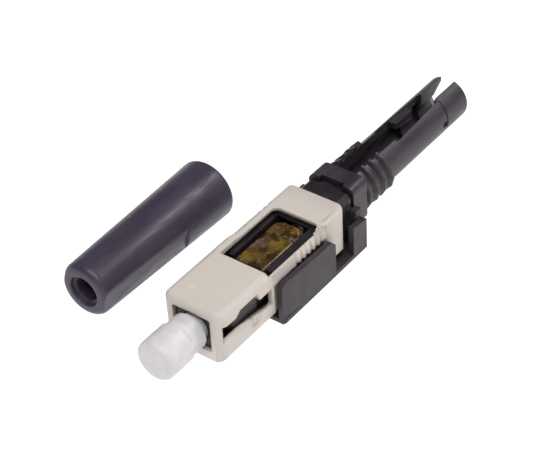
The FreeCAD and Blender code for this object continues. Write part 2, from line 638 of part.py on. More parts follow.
# ---------------------------------------------------------------- rear body
def rear_body():
    trough = block(BODY_FRONT, BLOCK_FRONT, -BODY_HALF, BODY_HALF, -BODY_BELOW, BODY_ABOVE)
    spigot_half = FRAME_POCKET_HALF - BODY_SPIGOT_PLAY
    spigot_above = FRAME_POCKET_ABOVE - BODY_SPIGOT_PLAY
    spigot = block(BODY_FRONT - BODY_SPIGOT_LENGTH, BODY_FRONT, -spigot_half, spigot_half,
                   -spigot_above, spigot_above)
    tail = block(BLOCK_FRONT, BLOCK_REAR, -BODY_HALF, BODY_HALF, -BLOCK_BELOW, BLOCK_ABOVE)
    crowns = [e for e in tail.Edges if is_top_edge(e, BLOCK_ABOVE)]
    tail = tail.makeChamfer(BLOCK_CHAMFER, crowns)
    neck = rod(NECK_D, BLOCK_REAR, NECK_REAR)
    ring = rod(NECK_RING_D, NECK_REAR - 2 * NECK_RING_T, NECK_REAR - NECK_RING_T)
    nubs = []
    for side in (-1, 1):
        base = V(at(BLOCK_REAR - BLOCK_NUB_INSET), side * (BODY_HALF - BLOCK_NUB_ROOT),
                 AXIS_Z + BLOCK_NUB_ABOVE)
        nubs.append(Part.makeCylinder(BLOCK_NUB_D / 2, BLOCK_NUB_H + BLOCK_NUB_ROOT, base, V(0, side, 0)))
    chamber_front = BODY_FRONT + BODY_FRONT_WALL
    chamber = block(chamber_front, CHAMBER_REAR, -BODY_CHAMBER_HALF, BODY_CHAMBER_HALF,
                    -BODY_CHAMBER_BELOW, BODY_ROOF_ABOVE)
    window = block(chamber_front, BODY_WINDOW_REAR, -BODY_CHAMBER_HALF, BODY_CHAMBER_HALF,
                   0, BODY_ABOVE + 1)
    slot = block(BODY_SLOT_FRONT, BODY_SLOT_REAR, -BODY_SLOT_HALF, BODY_SLOT_HALF, -CLEAR, 0)
    neck_hole = rod(BODY_NECK_HOLE_D, BODY_FRONT - BODY_SPIGOT_LENGTH - 1, chamber_front + 1)
    guide_hole = rod(GUIDE_D, CHAMBER_REAR - 1, CABLE_BORE_FRONT)
    cable = rod(CABLE_BORE_D, CABLE_BORE_FRONT, NECK_REAR + 1)
    body = trough.fuse([spigot, tail, neck, ring] + nubs)
    return body.cut([chamber, window, slot, neck_hole, guide_hole, cable]).removeSplitter()


def is_top_edge(edge, above):
    box = edge.BoundBox
    high = abs(box.ZMin - AXIS_Z - above) < 1e-6 and box.ZLength < 1e-6
    return high and box.YLength < 1e-6


def fibre_guide():
    front = SLEEVE_REAR + GUIDE_GAP
    flange_rear = CABLE_BORE_FRONT + GUIDE_FLANGE_T
    tube = rod(GUIDE_D, front, flange_rear).fuse(rod(GUIDE_FLANGE_D, CABLE_BORE_FRONT, flange_rear))
    funnel = Part.makeCone(GUIDE_FUNNEL_D / 2, GUIDE_BORE_D / 2, GUIDE_FLANGE_T,
                           V(at(flange_rear), 0, AXIS_Z), V(1, 0, 0))
    return tube.cut([rod(GUIDE_BORE_D, front - 1, flange_rear + 1), funnel])


def coil_spring():
    front = SLEEVE_REAR + SPRING_END_GAP + SPRING_WIRE_D / 2
    rear = CHAMBER_REAR - SPRING_END_GAP - SPRING_WIRE_D / 2
    wire = []
    for i in range(SPRING_WIRE_SIDES):
        angle = 2 * math.pi * i / SPRING_WIRE_SIDES
        radius = (SPRING_MEAN_D + SPRING_WIRE_D * math.cos(angle)) / 2
        wire.append((radius, SPRING_WIRE_D / 2 * math.sin(angle)))
    turns = (rear - front) / SPRING_PITCH
    return winding(wire, SPRING_PITCH, turns, SPRING_CHORDS, at(front), 0, AXIS_Z)


# ---------------------------------------------------------------- cable clamp
def clamp_slot():
    """Cable opening along the top, widest along the jaws' thin walls."""
    step = JAW_FRONT + SLOT_STEP_START
    edge = [
        (COLLAR_REAR, SLOT_FRONT_HALF),
        (step, SLOT_FRONT_HALF),
        (step + SLOT_STEP_LENGTH, SLOT_MID_HALF),
        (JAW_END_FRONT, SLOT_MID_REAR_HALF),
        (JAW_END_FRONT, SLOT_REAR_HALF),
        (JAW_REAR + 1, SLOT_REAR_HALF),
    ]
    near = [V(at(behind), half, AXIS_Z) for behind, half in edge]
    far = [V(p.x, -p.y, AXIS_Z) for p in reversed(near)]
    return prism(near + far, V(0, 0, CLEAR))


def jaw_blank():
    """Round jaws with their inner rib and the thick end that closes on the cable."""
    r = JAW_D / 2
    mouth_x = at(JAW_REAR - JAW_MOUTH_LENGTH)
    rib_front = JAW_FRONT + RIB_PLACE
    rib_rear = rib_front + RIB_LENGTH
    outline = [
        (at(JAW_FRONT), CABLE_BORE_D / 2),
        (at(JAW_FRONT), r),
        (at(JAW_REAR), r),
        (at(JAW_REAR), JAW_MOUTH_D / 2),
        (mouth_x, GRIP_BORE_D / 2),
        (at(JAW_END_FRONT), GRIP_BORE_D / 2),
        (at(JAW_END_FRONT), JAW_BORE_D / 2),
        (at(rib_rear), JAW_BORE_D / 2),
        (at(rib_rear), GRIP_BORE_D / 2),
        (at(rib_front), GRIP_BORE_D / 2),
        (at(rib_front), JAW_BORE_D / 2),
        (at(JAW_FRONT + JAW_BORE_START), JAW_BORE_D / 2),
        (at(JAW_FRONT + JAW_BORE_START), CABLE_BORE_D / 2),
    ]
    return turned(outline, 0, AXIS_Z)


def jaw_marks():
    """Moulding line round the near jaw's thick end, and the dimple ahead of it."""
    rear = JAW_END_FRONT + JAW_LINE_W
    line = rod(JAW_D + 1, JAW_END_FRONT, rear).cut(rod(JAW_D - 2 * JAW_LINE_DEPTH, JAW_END_FRONT, rear))
    line = line.common(block(JAW_END_FRONT, rear, 0, CLEAR, -JAW_LINE_BELOW, CLEAR))
    dimple_front = JAW_END_FRONT - DIMPLE_SETBACK - DIMPLE_SIZE / 2
    dimple = block(dimple_front, dimple_front + DIMPLE_SIZE, JAW_D / 2 - DIMPLE_DEPTH, JAW_D,
                   -DIMPLE_BELOW - DIMPLE_SIZE / 2, -DIMPLE_BELOW + DIMPLE_SIZE / 2)
    return [line, dimple]


def cable_clamp():
    collar = bar(CLAMP_FRONT, COLLAR_REAR, COLLAR_HALF, -COLLAR_ABOVE, COLLAR_ABOVE, COLLAR_ROUND)
    core = rod(THREAD_CORE_D, COLLAR_REAR, JAW_FRONT)
    thread = ridges(THREAD_CORE_D / 2 - THREAD_EMBED, THREAD_CREST_D / 2,
                    at(COLLAR_REAR + THREAD_START_GAP), THREAD_START_DEG, THREAD_TURNS, 0, AXIS_Z)
    ring_rear = NECK_REAR - NECK_RING_T
    socket = rod(NECK_D + 2 * NECK_PLAY, CLAMP_FRONT - 1, NECK_REAR + NECK_PLAY)
    catch = rod(NECK_RING_D + 2 * NECK_PLAY, ring_rear - NECK_RING_T - NECK_PLAY, ring_rear + NECK_PLAY)
    passage = rod(CABLE_BORE_D, CLAMP_FRONT, JAW_FRONT)
    notch = block(CLAMP_FRONT - 1, CLAMP_FRONT + COLLAR_NOTCH_LENGTH, -COLLAR_NOTCH_HALF,
                  COLLAR_NOTCH_HALF, COLLAR_ABOVE - COLLAR_NOTCH_DEPTH, COLLAR_ABOVE + 1)
    under = block(JAW_REAR - UNDER_SLOT_LENGTH, JAW_REAR + 1, -UNDER_SLOT_HALF, UNDER_SLOT_HALF,
                  -CLEAR, 0)
    rib_front = JAW_FRONT + RIB_PLACE
    tooth = block(rib_front - TOOTH_LENGTH, rib_front + RIB_LENGTH / 2, TOOTH_ROOT, TOOTH_REACH,
                  TOOTH_LOW, TOOTH_TOP)
    body = collar.fuse([core] + thread).cut([socket, catch, passage, notch]).fuse(jaw_blank())
    return body.cut([clamp_slot(), under] + jaw_marks()).fuse(tooth).removeSplitter()


# ---------------------------------------------------------------- boot
def boot():
    small = BOOT_SMALL_D / 2
    large = BOOT_LARGE_D / 2
    tip = at(-BOOT_TIP_AHEAD)
    rear = tip - BOOT_LENGTH
    y = -BOOT_ASIDE
    z = large
    taper = (large - small) / BOOT_LENGTH
    outline = [
        (rear, 0),
        (rear, large - BOOT_LARGE_ROUND),
        (rear + BOOT_LARGE_ROUND, large - taper * BOOT_LARGE_ROUND),
        (tip - BOOT_SMALL_ROUND, small + taper * BOOT_SMALL_ROUND),
        (tip - BOOT_ROUND_BREAK, small - BOOT_ROUND_BREAK),
        (tip, small - BOOT_SMALL_ROUND),
        (tip, 0),
    ]
    body = turned(outline, y, z)
    thread_bore_r = THREAD_CORE_D / 2 + BOOT_THREAD_PLAY
    shoulder = rear + BOOT_THREAD_LENGTH
    hollow = turned([(rear - 1, 0), (rear - 1, thread_bore_r), (shoulder, thread_bore_r),
                     (shoulder, BOOT_BORE_D / 2), (tip - BOOT_BORE_END, BOOT_BORE_D / 2),
                     (tip - BOOT_BORE_END, 0)], y, z)
    hole = Part.makeCylinder(BOOT_HOLE_D / 2, BOOT_LENGTH, V(rear + 1, y, z), V(1, 0, 0))
    recess = Part.makeCylinder(BOOT_RECESS_D / 2, BOOT_RECESS_DEPTH + 1,
                               V(tip - BOOT_RECESS_DEPTH, y, z), V(1, 0, 0))
    groove = ridges(thread_bore_r - THREAD_EMBED, THREAD_CREST_D / 2 + BOOT_THREAD_PLAY,
                    shoulder - THREAD_ROOT_W, 0, BOOT_THREAD_TURNS, y, z)
    cuts = [hollow, hole, recess] + groove
    for side in (-1, 1):
        start = small + taper * BOOT_SMALL_ROUND - BOOT_FLAT_DEPTH
        end = small + taper * BOOT_FLAT_LENGTH
        outline = [V(tip + 1, y + side * start, 0), V(tip - BOOT_FLAT_LENGTH, y + side * end, 0),
                   V(tip - BOOT_FLAT_LENGTH, y + side * (large + 1), 0),
                   V(tip + 1, y + side * (large + 1), 0)]
        cuts.append(prism(outline, V(0, 0, 2 * large)))
    return body.cut(cuts)


# ---------------------------------------------------------------- dust cap
def dust_cap():
    spigot_r = FRAME_BORE_D / 2 - CAP_SPIGOT_PLAY
    bore_r = FERRULE_D / 2 + CAP_FERRULE_PLAY
    front = at(-CAP_FRONT)
    rear = at(-CAP_RING_REAR)
    barrel_r = CAP_BARREL_D / 2
    outline = [
        (at(-FERRULE_AHEAD - CAP_TIP_GAP), 0),
        (at(-FERRULE_AHEAD - CAP_TIP_GAP), bore_r),
        (rear - CAP_SPIGOT_LENGTH, bore_r),
        (rear - CAP_SPIGOT_LENGTH, spigot_r),
        (rear, spigot_r),
        (rear, CAP_RING_D / 2),
        (at(-CAP_RING_FRONT), CAP_RING_D / 2),
        (at(-CAP_RING_FRONT), barrel_r),
        (front - CAP_EDGE, barrel_r),
        (front - CAP_EDGE_BREAK, barrel_r - CAP_EDGE_BREAK),
        (front, barrel_r - CAP_EDGE),
        (front, 0),
    ]
    return turned(outline, 0, AXIS_Z)


# ---------------------------------------------------------------- release clip and wedge
def clip_arm():
    """Upright arm on the near side, its outer face turned in slightly at the front."""
    front = CLIP_SETBACK
    rear = CLIP_SETBACK + CLIP_ARM_LENGTH
    inner = CLIP_HALF - CLIP_ARM_T
    bend = front + CLIP_ARM_BEND
    foot = [V(at(front), inner, 0), V(at(front), CLIP_HALF - CLIP_ARM_TURN_IN, 0),
            V(at(bend), CLIP_HALF, 0), V(at(rear), CLIP_HALF, 0), V(at(rear), inner, 0)]
    upright = prism(foot, V(0, 0, CLIP_ARM_FRONT_Z))
    c = CLIP_ARM_TOP_ROUND
    side = [V(at(front), 0, 0), V(at(front), 0, CLIP_ARM_FRONT_Z - c),
            V(at(front + c), 0, CLIP_ARM_FRONT_Z), V(at(rear - c), 0, CLIP_ARM_REAR_Z),
            V(at(rear), 0, CLIP_ARM_REAR_Z - c), V(at(rear), 0, 0)]
    return upright.common(prism(side, V(0, CLEAR, 0)))


def clip_cradle():
    """Wall on the near side behind the grip, tied to the saddle across the rear edge."""
    rear = CLIP_REAR
    front = rear - CLIP_CRADLE_LENGTH
    inner = CLIP_HALF - CLIP_ARM_T
    slope = [V(at(front), 0, 0), V(at(front), 0, CLIP_CRADLE_FRONT_Z),
             V(at(rear), 0, CLIP_CRADLE_REAR_Z), V(at(rear), 0, 0)]
    wall = prism(slope, V(0, CLIP_HALF - inner, 0))
    wall.translate(V(0, inner, 0))
    side_gap = COLLAR_HALF + CLIP_SIDE_PLAY
    slope_top = prism(slope, V(0, CLIP_HALF, 0))
    ear = Part.makeBox(CLIP_SADDLE_T, CLIP_HALF - side_gap, CLIP_HORN_Z, V(at(rear), side_gap, 0))
    horn = Part.makeBox(CLIP_SADDLE_T, CLIP_HORN_T, CLIP_HORN_Z, V(at(rear), side_gap, 0))
    ear = ear.common(slope_top.fuse(horn))
    bridge = Part.makeBox(CLIP_SADDLE_T, CLIP_HALF, CLIP_SADDLE_Z, V(at(rear), 0, 0))
    return wall.fuse([ear, bridge])


def release_clip():
    base = plan(CLIP_SETBACK, CLIP_REAR, CLIP_HALF, -AXIS_Z, CLIP_BASE_T - AXIS_Z, CLIP_CORNER)
    pieces = both_sides(clip_arm()) + both_sides(clip_cradle())
    rail_top = CLIP_BASE_T + CLIP_RAIL_H
    rail_rear = GRIP_LENGTH - GRIP_TRAVEL
    rail = Part.makeBox(rail_rear - CLIP_SETBACK - CLIP_RAIL_SETBACK, CLIP_RAIL_W, rail_top,
                        V(at(rail_rear), CLIP_RAIL_HALF - CLIP_RAIL_W, 0))
    pieces += both_sides(rail)
    return base.fuse(pieces).removeSplitter()


def splice_wedge():
    """Two blades on a plate: they stand in the splice's seam and hold the lids open."""
    rear = WEDGE_PLATE_FRONT + WEDGE_PLATE_LENGTH
    floor = CLIP_BASE_T - AXIS_Z
    plate = block(WEDGE_PLATE_FRONT, rear, -WEDGE_PLATE_HALF, WEDGE_PLATE_HALF,
                  floor, floor + WEDGE_PLATE_T)
    tip_z = -WEDGE_TIP_BELOW_AXIS
    middle = SEAM_OFFSET + SEAM_GAP / 2 + WEDGE_BLADE_ASIDE
    root = WEDGE_BLADE_ROOT / 2
    tip = WEDGE_BLADE_TIP / 2
    outline = [(middle - root, floor), (middle + root, floor), (middle + root, tip_z - WEDGE_TAPER_H),
               (middle + tip, tip_z), (middle - tip, tip_z), (middle - root, tip_z - WEDGE_TAPER_H)]
    blades = []
    for start in (WEDGE_PLATE_FRONT + WEDGE_BLADE_INSET, rear - WEDGE_BLADE_INSET - WEDGE_BLADE_LENGTH):
        points = [V(at(start + WEDGE_BLADE_LENGTH), y, AXIS_Z + z) for y, z in outline]
        blades.append(prism(points, V(WEDGE_BLADE_LENGTH, 0, 0)))
    return plate.fuse(blades).removeSplitter()


NODES = {
    "outer_housing": outer_housing,
    "plug_frame": plug_frame,
    "ferrule": ferrule,
    "ferrule_holder": ferrule_holder,
    "fibre_stub": fibre_stub,
    "splice_base": splice_base,
    "splice_lid_front": splice_lid_front,
    "splice_lid_rear": splice_lid_rear,
    "splice_sleeve": splice_sleeve,
    "rear_body": rear_body,
    "fibre_guide": fibre_guide,
    "coil_spring": coil_spring,
    "cable_clamp": cable_clamp,
    "boot": boot,
    "dust_cap": dust_cap,
    "release_clip": release_clip,
    "splice_wedge": splice_wedge,
}

os.makedirs("parts", exist_ok=True)
for name, make in NODES.items():
    shape = make()
    solids = shape.Solids
    box = shape.BoundBox
    print(name, len(solids), "valid" if shape.isValid() else "INVALID", round(shape.Volume, 3),
          [round(n, 2) for n in (box.XMin, box.XMax, box.YMin, box.YMax, box.ZMin, box.ZMax)])
    if len(solids) == 1:
        shape = solids[0]
    shape.exportStep("parts/" + name + ".step")
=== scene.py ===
# %% [markdown]
# # A field-installable fibre connector
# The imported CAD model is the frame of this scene: every piece already lies where it belongs, in
# metres, with +X towards the mating end and +Z up. This lesson adds the studio, the finishes and
# the small forms that the solids leave out, one cell at a time.

import math

import bmesh
import bpy
from mathutils import Matrix, Vector


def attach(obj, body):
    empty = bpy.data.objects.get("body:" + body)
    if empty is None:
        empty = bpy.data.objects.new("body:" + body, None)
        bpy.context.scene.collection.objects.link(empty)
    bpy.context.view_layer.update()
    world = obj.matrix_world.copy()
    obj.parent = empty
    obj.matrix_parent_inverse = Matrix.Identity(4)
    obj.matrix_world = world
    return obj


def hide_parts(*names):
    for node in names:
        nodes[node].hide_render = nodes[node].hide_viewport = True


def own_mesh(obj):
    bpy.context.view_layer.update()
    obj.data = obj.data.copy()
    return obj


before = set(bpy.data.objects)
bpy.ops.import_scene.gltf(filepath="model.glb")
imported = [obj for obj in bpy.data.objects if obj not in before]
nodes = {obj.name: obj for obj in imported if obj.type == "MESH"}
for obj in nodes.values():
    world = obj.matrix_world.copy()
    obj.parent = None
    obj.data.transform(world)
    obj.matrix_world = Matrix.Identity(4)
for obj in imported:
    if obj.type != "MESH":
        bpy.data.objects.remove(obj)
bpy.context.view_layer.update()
MM = 0.001
AXIS_Z = 5.10          # height of the optical axis over the clip's underside, in millimetres
FACE_X = 20.0          # the grip's front face
print("nodes:", sorted(nodes))

# %% [markdown]
# ## The camera
# The connector is small, so the camera stands close to it, with a long lens. It looks from the
# front left of the mating end, about 39 degrees above the bench, with a slight roll.
# Three directions at right angles make its rotation: across the view, up, and back to the camera.

# %% Camera
CAMERA_AT = Vector((133.347, 103.987, 144.437)) * MM
BACK = Vector((0.60575, 0.48697, 0.62923))
RIGHT = Vector((-0.62655, 0.77938, 0.0))
UP = Vector((-0.49041, -0.39424, 0.77722))
ROLL = math.radians(3.52)
SENSOR = 36.0                        # the sensor's width in millimetres
LENS = 1738.0 * SENSOR / 540.0       # about 3.2 times the sensor's width, so a long lens
NEAREST, FARTHEST = 0.01, 10.0       # metres

lens = bpy.data.cameras.new("studio_lens")
lens.sensor_width = SENSOR
lens.lens = LENS
lens.clip_start = NEAREST
lens.clip_end = FARTHEST
camera = bpy.data.objects.new("studio_camera", lens)
bpy.context.scene.collection.objects.link(camera)
across = RIGHT * math.cos(ROLL) - UP * math.sin(ROLL)
upward = RIGHT * math.sin(ROLL) + UP * math.cos(ROLL)
turn = Matrix((across, upward, BACK)).transposed().to_4x4()
camera.matrix_world = Matrix.Translation(CAMERA_AT) @ turn
bpy.context.scene.camera = camera
print("camera lens", round(lens.lens, 1), "mm")

# %% [markdown]
# ## Writing materials as sums
# A material's maths reads best as Python expressions. `Signal` wraps one output socket, and adding
# or multiplying two signals adds the Math node that does it. The operators come in pairs, so that
# `1 - mask` works as well as `mask - 1`.


# %% Signal
class Signal:
    """One output socket of a node tree. Sums on values add Math nodes."""

    def __init__(self, network, socket):
        self.network = network
        self.socket = socket

    def math(self, operation, other=0.0, flip=False):
        first, second = (other, self) if flip else (self, other)
        return self.network.node("ShaderNodeMath", {"operation": operation}, {0: first, 1: second})

    def __add__(self, other):
        return self.math("ADD", other)

    def __radd__(self, other):
        return self.math("ADD", other, True)

    def __sub__(self, other):
        return self.math("SUBTRACT", other)

    def __rsub__(self, other):
        return self.math("SUBTRACT", other, True)

    def __mul__(self, other):
        return self.math("MULTIPLY", other)

    def __rmul__(self, other):
        return self.math("MULTIPLY", other, True)

    def __gt__(self, other):
        return self.math("GREATER_THAN", other)

    def __lt__(self, other):
        return self.math("LESS_THAN", other)


print("signals ready")

# %% [markdown]
# ## Adding nodes
# Every other node comes from one method, `node`. It takes the node's type, then its settings, then
# the values or links of its sockets, in that order, because some settings change which sockets a
# node has. Materials and the room both use it.


# %% Network
class Network:
    """A node tree under construction."""

    def __init__(self, tree):
        self.tree = tree

    def node(self, kind, settings, inputs, output=0):
        made = self.tree.nodes.new(kind)
        for key, value in settings.items():
            setattr(made, key, value)
        for key, value in inputs.items():
            self.feed(made.inputs[key], value)
        return Signal(self, made.outputs[output])

    def feed(self, socket, value):
        if isinstance(value, Signal):
            self.tree.links.new(value.socket, socket)
        else:
            socket.default_value = value


print("network ready")

# %% [markdown]
# ## One class for every finish
# A finish is a material with one Principled shader, and a few methods for what moulded plastic
# needs: soft noise, masks, colour mixes, a ball-shaped spot, bump and rounded edges. Each pattern
# reads Object coordinates, so it stays on its piece when the piece moves.


# %% Finish
class Finish(Network):
    """A material under construction, with one Principled BSDF."""

    def __init__(self, name):
        self.material = bpy.data.materials.new(name)
        self.material.use_nodes = True
        super().__init__(self.material.node_tree)
        self.shader = self.tree.nodes["Principled BSDF"]
        self.place = self.node("ShaderNodeTexCoord", {}, {}, "Object")

    def set(self, **sockets):
        for name, value in sockets.items():
            self.feed(self.shader.inputs[name.replace("_", " ")], value)

    def base_color(self):
        """The signal that feeds the shader's colour so far."""
        return Signal(self, self.shader.inputs["Base Color"].links[0].from_socket)

    def noise(self, size, detail=3.0, roughness=0.5, stretch=(1, 1, 1), shift=(0, 0, 0)):
        """Soft noise, 0 to 1, with blobs of about the given size in millimetres."""
        moved = self.node("ShaderNodeMapping", {}, {0: self.place, 1: shift, 3: stretch})
        return self.node("ShaderNodeTexNoise", {}, {
            "Vector": moved, "Scale": 1.0 / (size * MM), "Detail": detail, "Roughness": roughness,
        })

    def ramp(self, signal, low, high):
        """0 below low and 1 above high, with a soft turn at both ends."""
        return self.node("ShaderNodeMapRange", {"interpolation_type": "SMOOTHSTEP"},
                         {0: signal, 1: low, 2: high, 3: 0.0, 4: 1.0})

    def mix(self, share, low, high):
        """Colour mix: low where share is 0 and high where it is 1."""
        low, high = (tone if isinstance(tone, Signal) else (*tone, 1.0) for tone in (low, high))
        return self.node("ShaderNodeMix", {"data_type": "RGBA"}, {0: share, 6: low, 7: high}, 2)

    def axis(self, index):
        """The place along X, Y or Z in metres."""
        return self.node("ShaderNodeSeparateXYZ", {}, {0: self.place}, index)

    def near(self, point, radius, soft=0.5):
        """1 inside a ball about the point and 0 outside; sizes in millimetres."""
        away = self.node("ShaderNodeVectorMath", {"operation": "DISTANCE"},
                         {0: self.place, 1: tuple(c * MM for c in point)}, 1)
        return 1 - self.ramp(away, radius * (1 - soft) * MM, radius * MM)

    def bump(self, height, depth, strength=1.0, under=None):
        """Bump of the given depth in millimetres, over an optional rounded normal."""
        inputs = {"Strength": strength, "Distance": depth * MM, "Height": height}
        if under is not None:
            inputs["Normal"] = under
        return self.node("ShaderNodeBump", {}, inputs)

    def soft_edges(self, radius):
        """Normals that round every edge by the given radius in millimetres."""
        return self.node("ShaderNodeBevel", {"samples": 6}, {"Radius": radius * MM})


print("material helpers ready")

# %% [markdown]
# ## The beige grip
# The grip is a moulded engineering plastic in a warm light beige. Up close such a moulding is not
# one colour: it has a faint cloudiness, fine grain from the eroded tool, and darker dust where
# fingers do not rub. The mould's gate leaves a small pale smudge on the front of its top. A warm
# shadow is painted into the side gate, where a springy arm of the real grip stands back.

# %% Grip finish
BEIGE = (0.655, 0.595, 0.545)
BEIGE_WARM = (0.675, 0.605, 0.54)
BEIGE_DUST = (0.50, 0.44, 0.39)
BEIGE_PALE = (0.84, 0.80, 0.75)
# painted shadow for the side gate, where the real grip's springy arm stands back
BEIGE_PAINTED_SHADOW = (0.32, 0.215, 0.13)
SMUDGE_AT = (17.2, -1.95, 8.75)                        # millimetres in the frame
PAINTED_SHADOW_AT = (FACE_X - 6.6, 4.5, AXIS_Z - 1.3)

grip = Finish("beige_grip_plastic")
cloud = grip.noise(3.5, detail=4.0, roughness=0.6)
dust = grip.noise(0.7, detail=6.0, roughness=0.7)
grain = grip.noise(0.06, detail=2.0)
clean = grip.mix(grip.ramp(cloud, 0.35, 0.65), BEIGE, BEIGE_WARM)
dusty = grip.mix(grip.ramp(dust, 0.62, 0.85) * 0.35, clean, BEIGE_DUST)
smudge = grip.near(SMUDGE_AT, 0.75, soft=0.8) * grip.ramp(grip.noise(0.35), 0.38, 0.6)
marked = grip.mix(smudge * 0.6, dusty, BEIGE_PALE)
# a warm painted shadow in the side gate, in soft patches
gate_painted_shadow = grip.near(PAINTED_SHADOW_AT, 1.5, soft=0.8) * grip.ramp(grip.noise(0.8, detail=2.0), 0.35, 0.6)
with_painted_shadow = grip.mix(gate_painted_shadow * 0.75, marked, BEIGE_PAINTED_SHADOW)
grip.set(Base_Color=with_painted_shadow, Roughness=0.42 + grip.ramp(dust, 0.3, 0.8) * 0.16,
         Specular_IOR_Level=0.45,
         Normal=grip.bump(grain + cloud * 0.5, 0.006, strength=0.6, under=grip.soft_edges(0.25)))
print("grip finish ready")

# %% [markdown]
# ## The dark plastics
# The inner frame, rear body, clamp and clip are black mouldings. They differ in gloss: the clip is
# satin and slightly greyer, the body and clamp have been handled and carry fine rubbed marks. One
# function makes them all, so the family stays alike. An Ambient Occlusion node tells how much open
# air a point has, and painted shade darkens the colour of corners where little light gets in.

# %% Dark plastics
# the colour of painted shade in corners and crevices
CREVICE_PAINTED_SHADE = (0.004, 0.003, 0.004)
CREVICE_REACH = 1.6                                    # millimetres
DARK_EDGE = 0.08


def dark_plastic(name, tone, rubbed, roughness, streak=(1, 1, 1)):
    made = Finish(name)
    patches = made.noise(2.2, detail=4.0, roughness=0.6, stretch=streak)
    specks = made.noise(0.25, detail=5.0, roughness=0.75)
    grain = made.noise(0.07, detail=2.0)
    wear = made.ramp(patches, 0.42, 0.75) * 0.55 + made.ramp(specks, 0.66, 0.8) * 0.45
    open_air = made.node("ShaderNodeAmbientOcclusion", {"samples": 8}, {"Distance": CREVICE_REACH * MM}, 1)
    # painted shade: the colour darkens where the Ambient Occlusion finds little open air
    painted_crevice_shade = 1 - made.ramp(open_air, 0.25, 0.85)
    worn = made.mix(wear, tone, rubbed)
    relief = grain + specks * 0.6
    made.set(Base_Color=made.mix(painted_crevice_shade * 0.75, worn, CREVICE_PAINTED_SHADE),
             Roughness=roughness + made.ramp(patches, 0.3, 0.7) * 0.12, Specular_IOR_Level=0.5,
             Normal=made.bump(relief, 0.006, strength=0.5, under=made.soft_edges(DARK_EDGE)))
    return made


LENGTHWISE = (0.35, 1, 1)                              # draws marks out along X
clip_plastic = dark_plastic("satin_black_clip",
                            (0.031, 0.021, 0.027), (0.047, 0.037, 0.043), 0.45)
body_plastic = dark_plastic("black_body_plastic",
                            (0.017, 0.011, 0.016), (0.034, 0.026, 0.032), 0.40)
clamp_plastic = dark_plastic("black_clamp_plastic",
                             (0.031, 0.024, 0.032), (0.069, 0.058, 0.070), 0.38, LENGTHWISE)
frame_plastic = dark_plastic("brown_black_frame_plastic",
                             (0.030, 0.024, 0.024), (0.060, 0.048, 0.046), 0.4)
print("dark plastics ready")

# %% [markdown]
# ## The crease of the clip's arms
# Each arm of the clip has one hairline crease across it, where the arm's front part turns slightly.
# A groove that fine would cost many faces, so the finish paints its shade as a dark line: a mask
# that is 1 within a tenth of a millimetre of one place along X, and only above the clip's floor.

# %% Clip crease
CREASE_X = 4.75
PAINTED_CREASE_SHADE = (0.010, 0.009, 0.010)

off_crease = clip_plastic.node("ShaderNodeMath", {"operation": "ABSOLUTE"},
                               {0: clip_plastic.axis(0) - CREASE_X * MM})
arms_only = clip_plastic.ramp(clip_plastic.axis(2), 1.6 * MM, 1.7 * MM)
# painted shade of the hairline crease, a dark line in the colour
crease = (1 - clip_plastic.ramp(off_crease, 0.04 * MM, 0.11 * MM)) * arms_only
clip_plastic.set(Base_Color=clip_plastic.mix(crease * 0.7, clip_plastic.base_color(), PAINTED_CREASE_SHADE))
print("crease at", CREASE_X, "mm")

# %% [markdown]
# ## The boot
# The boot is a soft, dark slate rubber with a dull sheen. Its long highlight is broken by fine
# scratches along its length, a few lint specks and one short scuff.

# %% Boot rubber
SLATE, SLATE_PALE = (0.046, 0.034, 0.058), (0.064, 0.050, 0.078)
LINT_TONE = (0.16, 0.16, 0.17)
SCUFF_TONE = (0.20, 0.20, 0.19)
SCUFF_AT = (10.3, -17.6, 8.2)

rubber = Finish("slate_boot_rubber")
haze = rubber.noise(3.0, detail=4.0, roughness=0.6, stretch=(0.4, 1, 1))
scratch = rubber.noise(0.3, roughness=0.6, stretch=(0.12, 1, 1))
lint = rubber.noise(0.22, detail=2.0, stretch=(0.5, 1, 1))
skin = rubber.mix(rubber.ramp(haze, 0.35, 0.7), SLATE, SLATE_PALE)
scuff = rubber.near(SCUFF_AT, 0.55, soft=0.6) * rubber.ramp(scratch, 0.4, 0.6)
specked = rubber.mix(rubber.ramp(lint, 0.72, 0.8) * 0.4, skin, LINT_TONE)
rubber.set(Base_Color=rubber.mix(scuff * 0.7, specked, SCUFF_TONE),
           Roughness=0.31 + rubber.ramp(scratch, 0.35, 0.7) * 0.16, Specular_IOR_Level=0.42,
           Normal=rubber.bump(scratch + lint * 0.5, 0.008, strength=0.6, under=rubber.soft_edges(0.3)))
print("boot rubber ready")

# %% [markdown]
# ## The dust cap
# The cap is a frosted, milky plastic that lets light into its wall. Subsurface light gives it that
# depth, and its waist looks greyer because the wall is thinner there.

# %% Cap plastic
MILK, MILK_PALE = (0.70, 0.675, 0.69), (0.76, 0.735, 0.75)
MILK_THIN = (0.58, 0.55, 0.57)
THIN_UP_TO = (21.75, 22.1)                             # the waist fades into the head here

milk = Finish("milky_cap_plastic")
veil = milk.noise(1.6)
speck = milk.noise(0.12, detail=2.0)
thin = 1 - milk.ramp(milk.axis(0), THIN_UP_TO[0] * MM, THIN_UP_TO[1] * MM)
milky = milk.mix(milk.ramp(veil, 0.35, 0.7), MILK, MILK_PALE)
milk.set(Base_Color=milk.mix(thin * 0.5, milky, MILK_THIN), Roughness=0.34 + veil * 0.12,
         Specular_IOR_Level=0.5, Subsurface_Weight=0.25, Subsurface_Scale=0.0008,
         Normal=milk.bump(speck + veil, 0.004, strength=0.5, under=milk.soft_edges(0.15)))
print("cap plastic ready")

# %% [markdown]
# ## The amber splice's colours
# The splice is clear amber plastic seen into: its inside shows olive, honey and brown patches with
# pinkish glints. A lifelike surface needs those patches at the right size. Voronoi cells, bent by
# a noise so that no edge is straight, give the small ones, and two noises the larger pools.

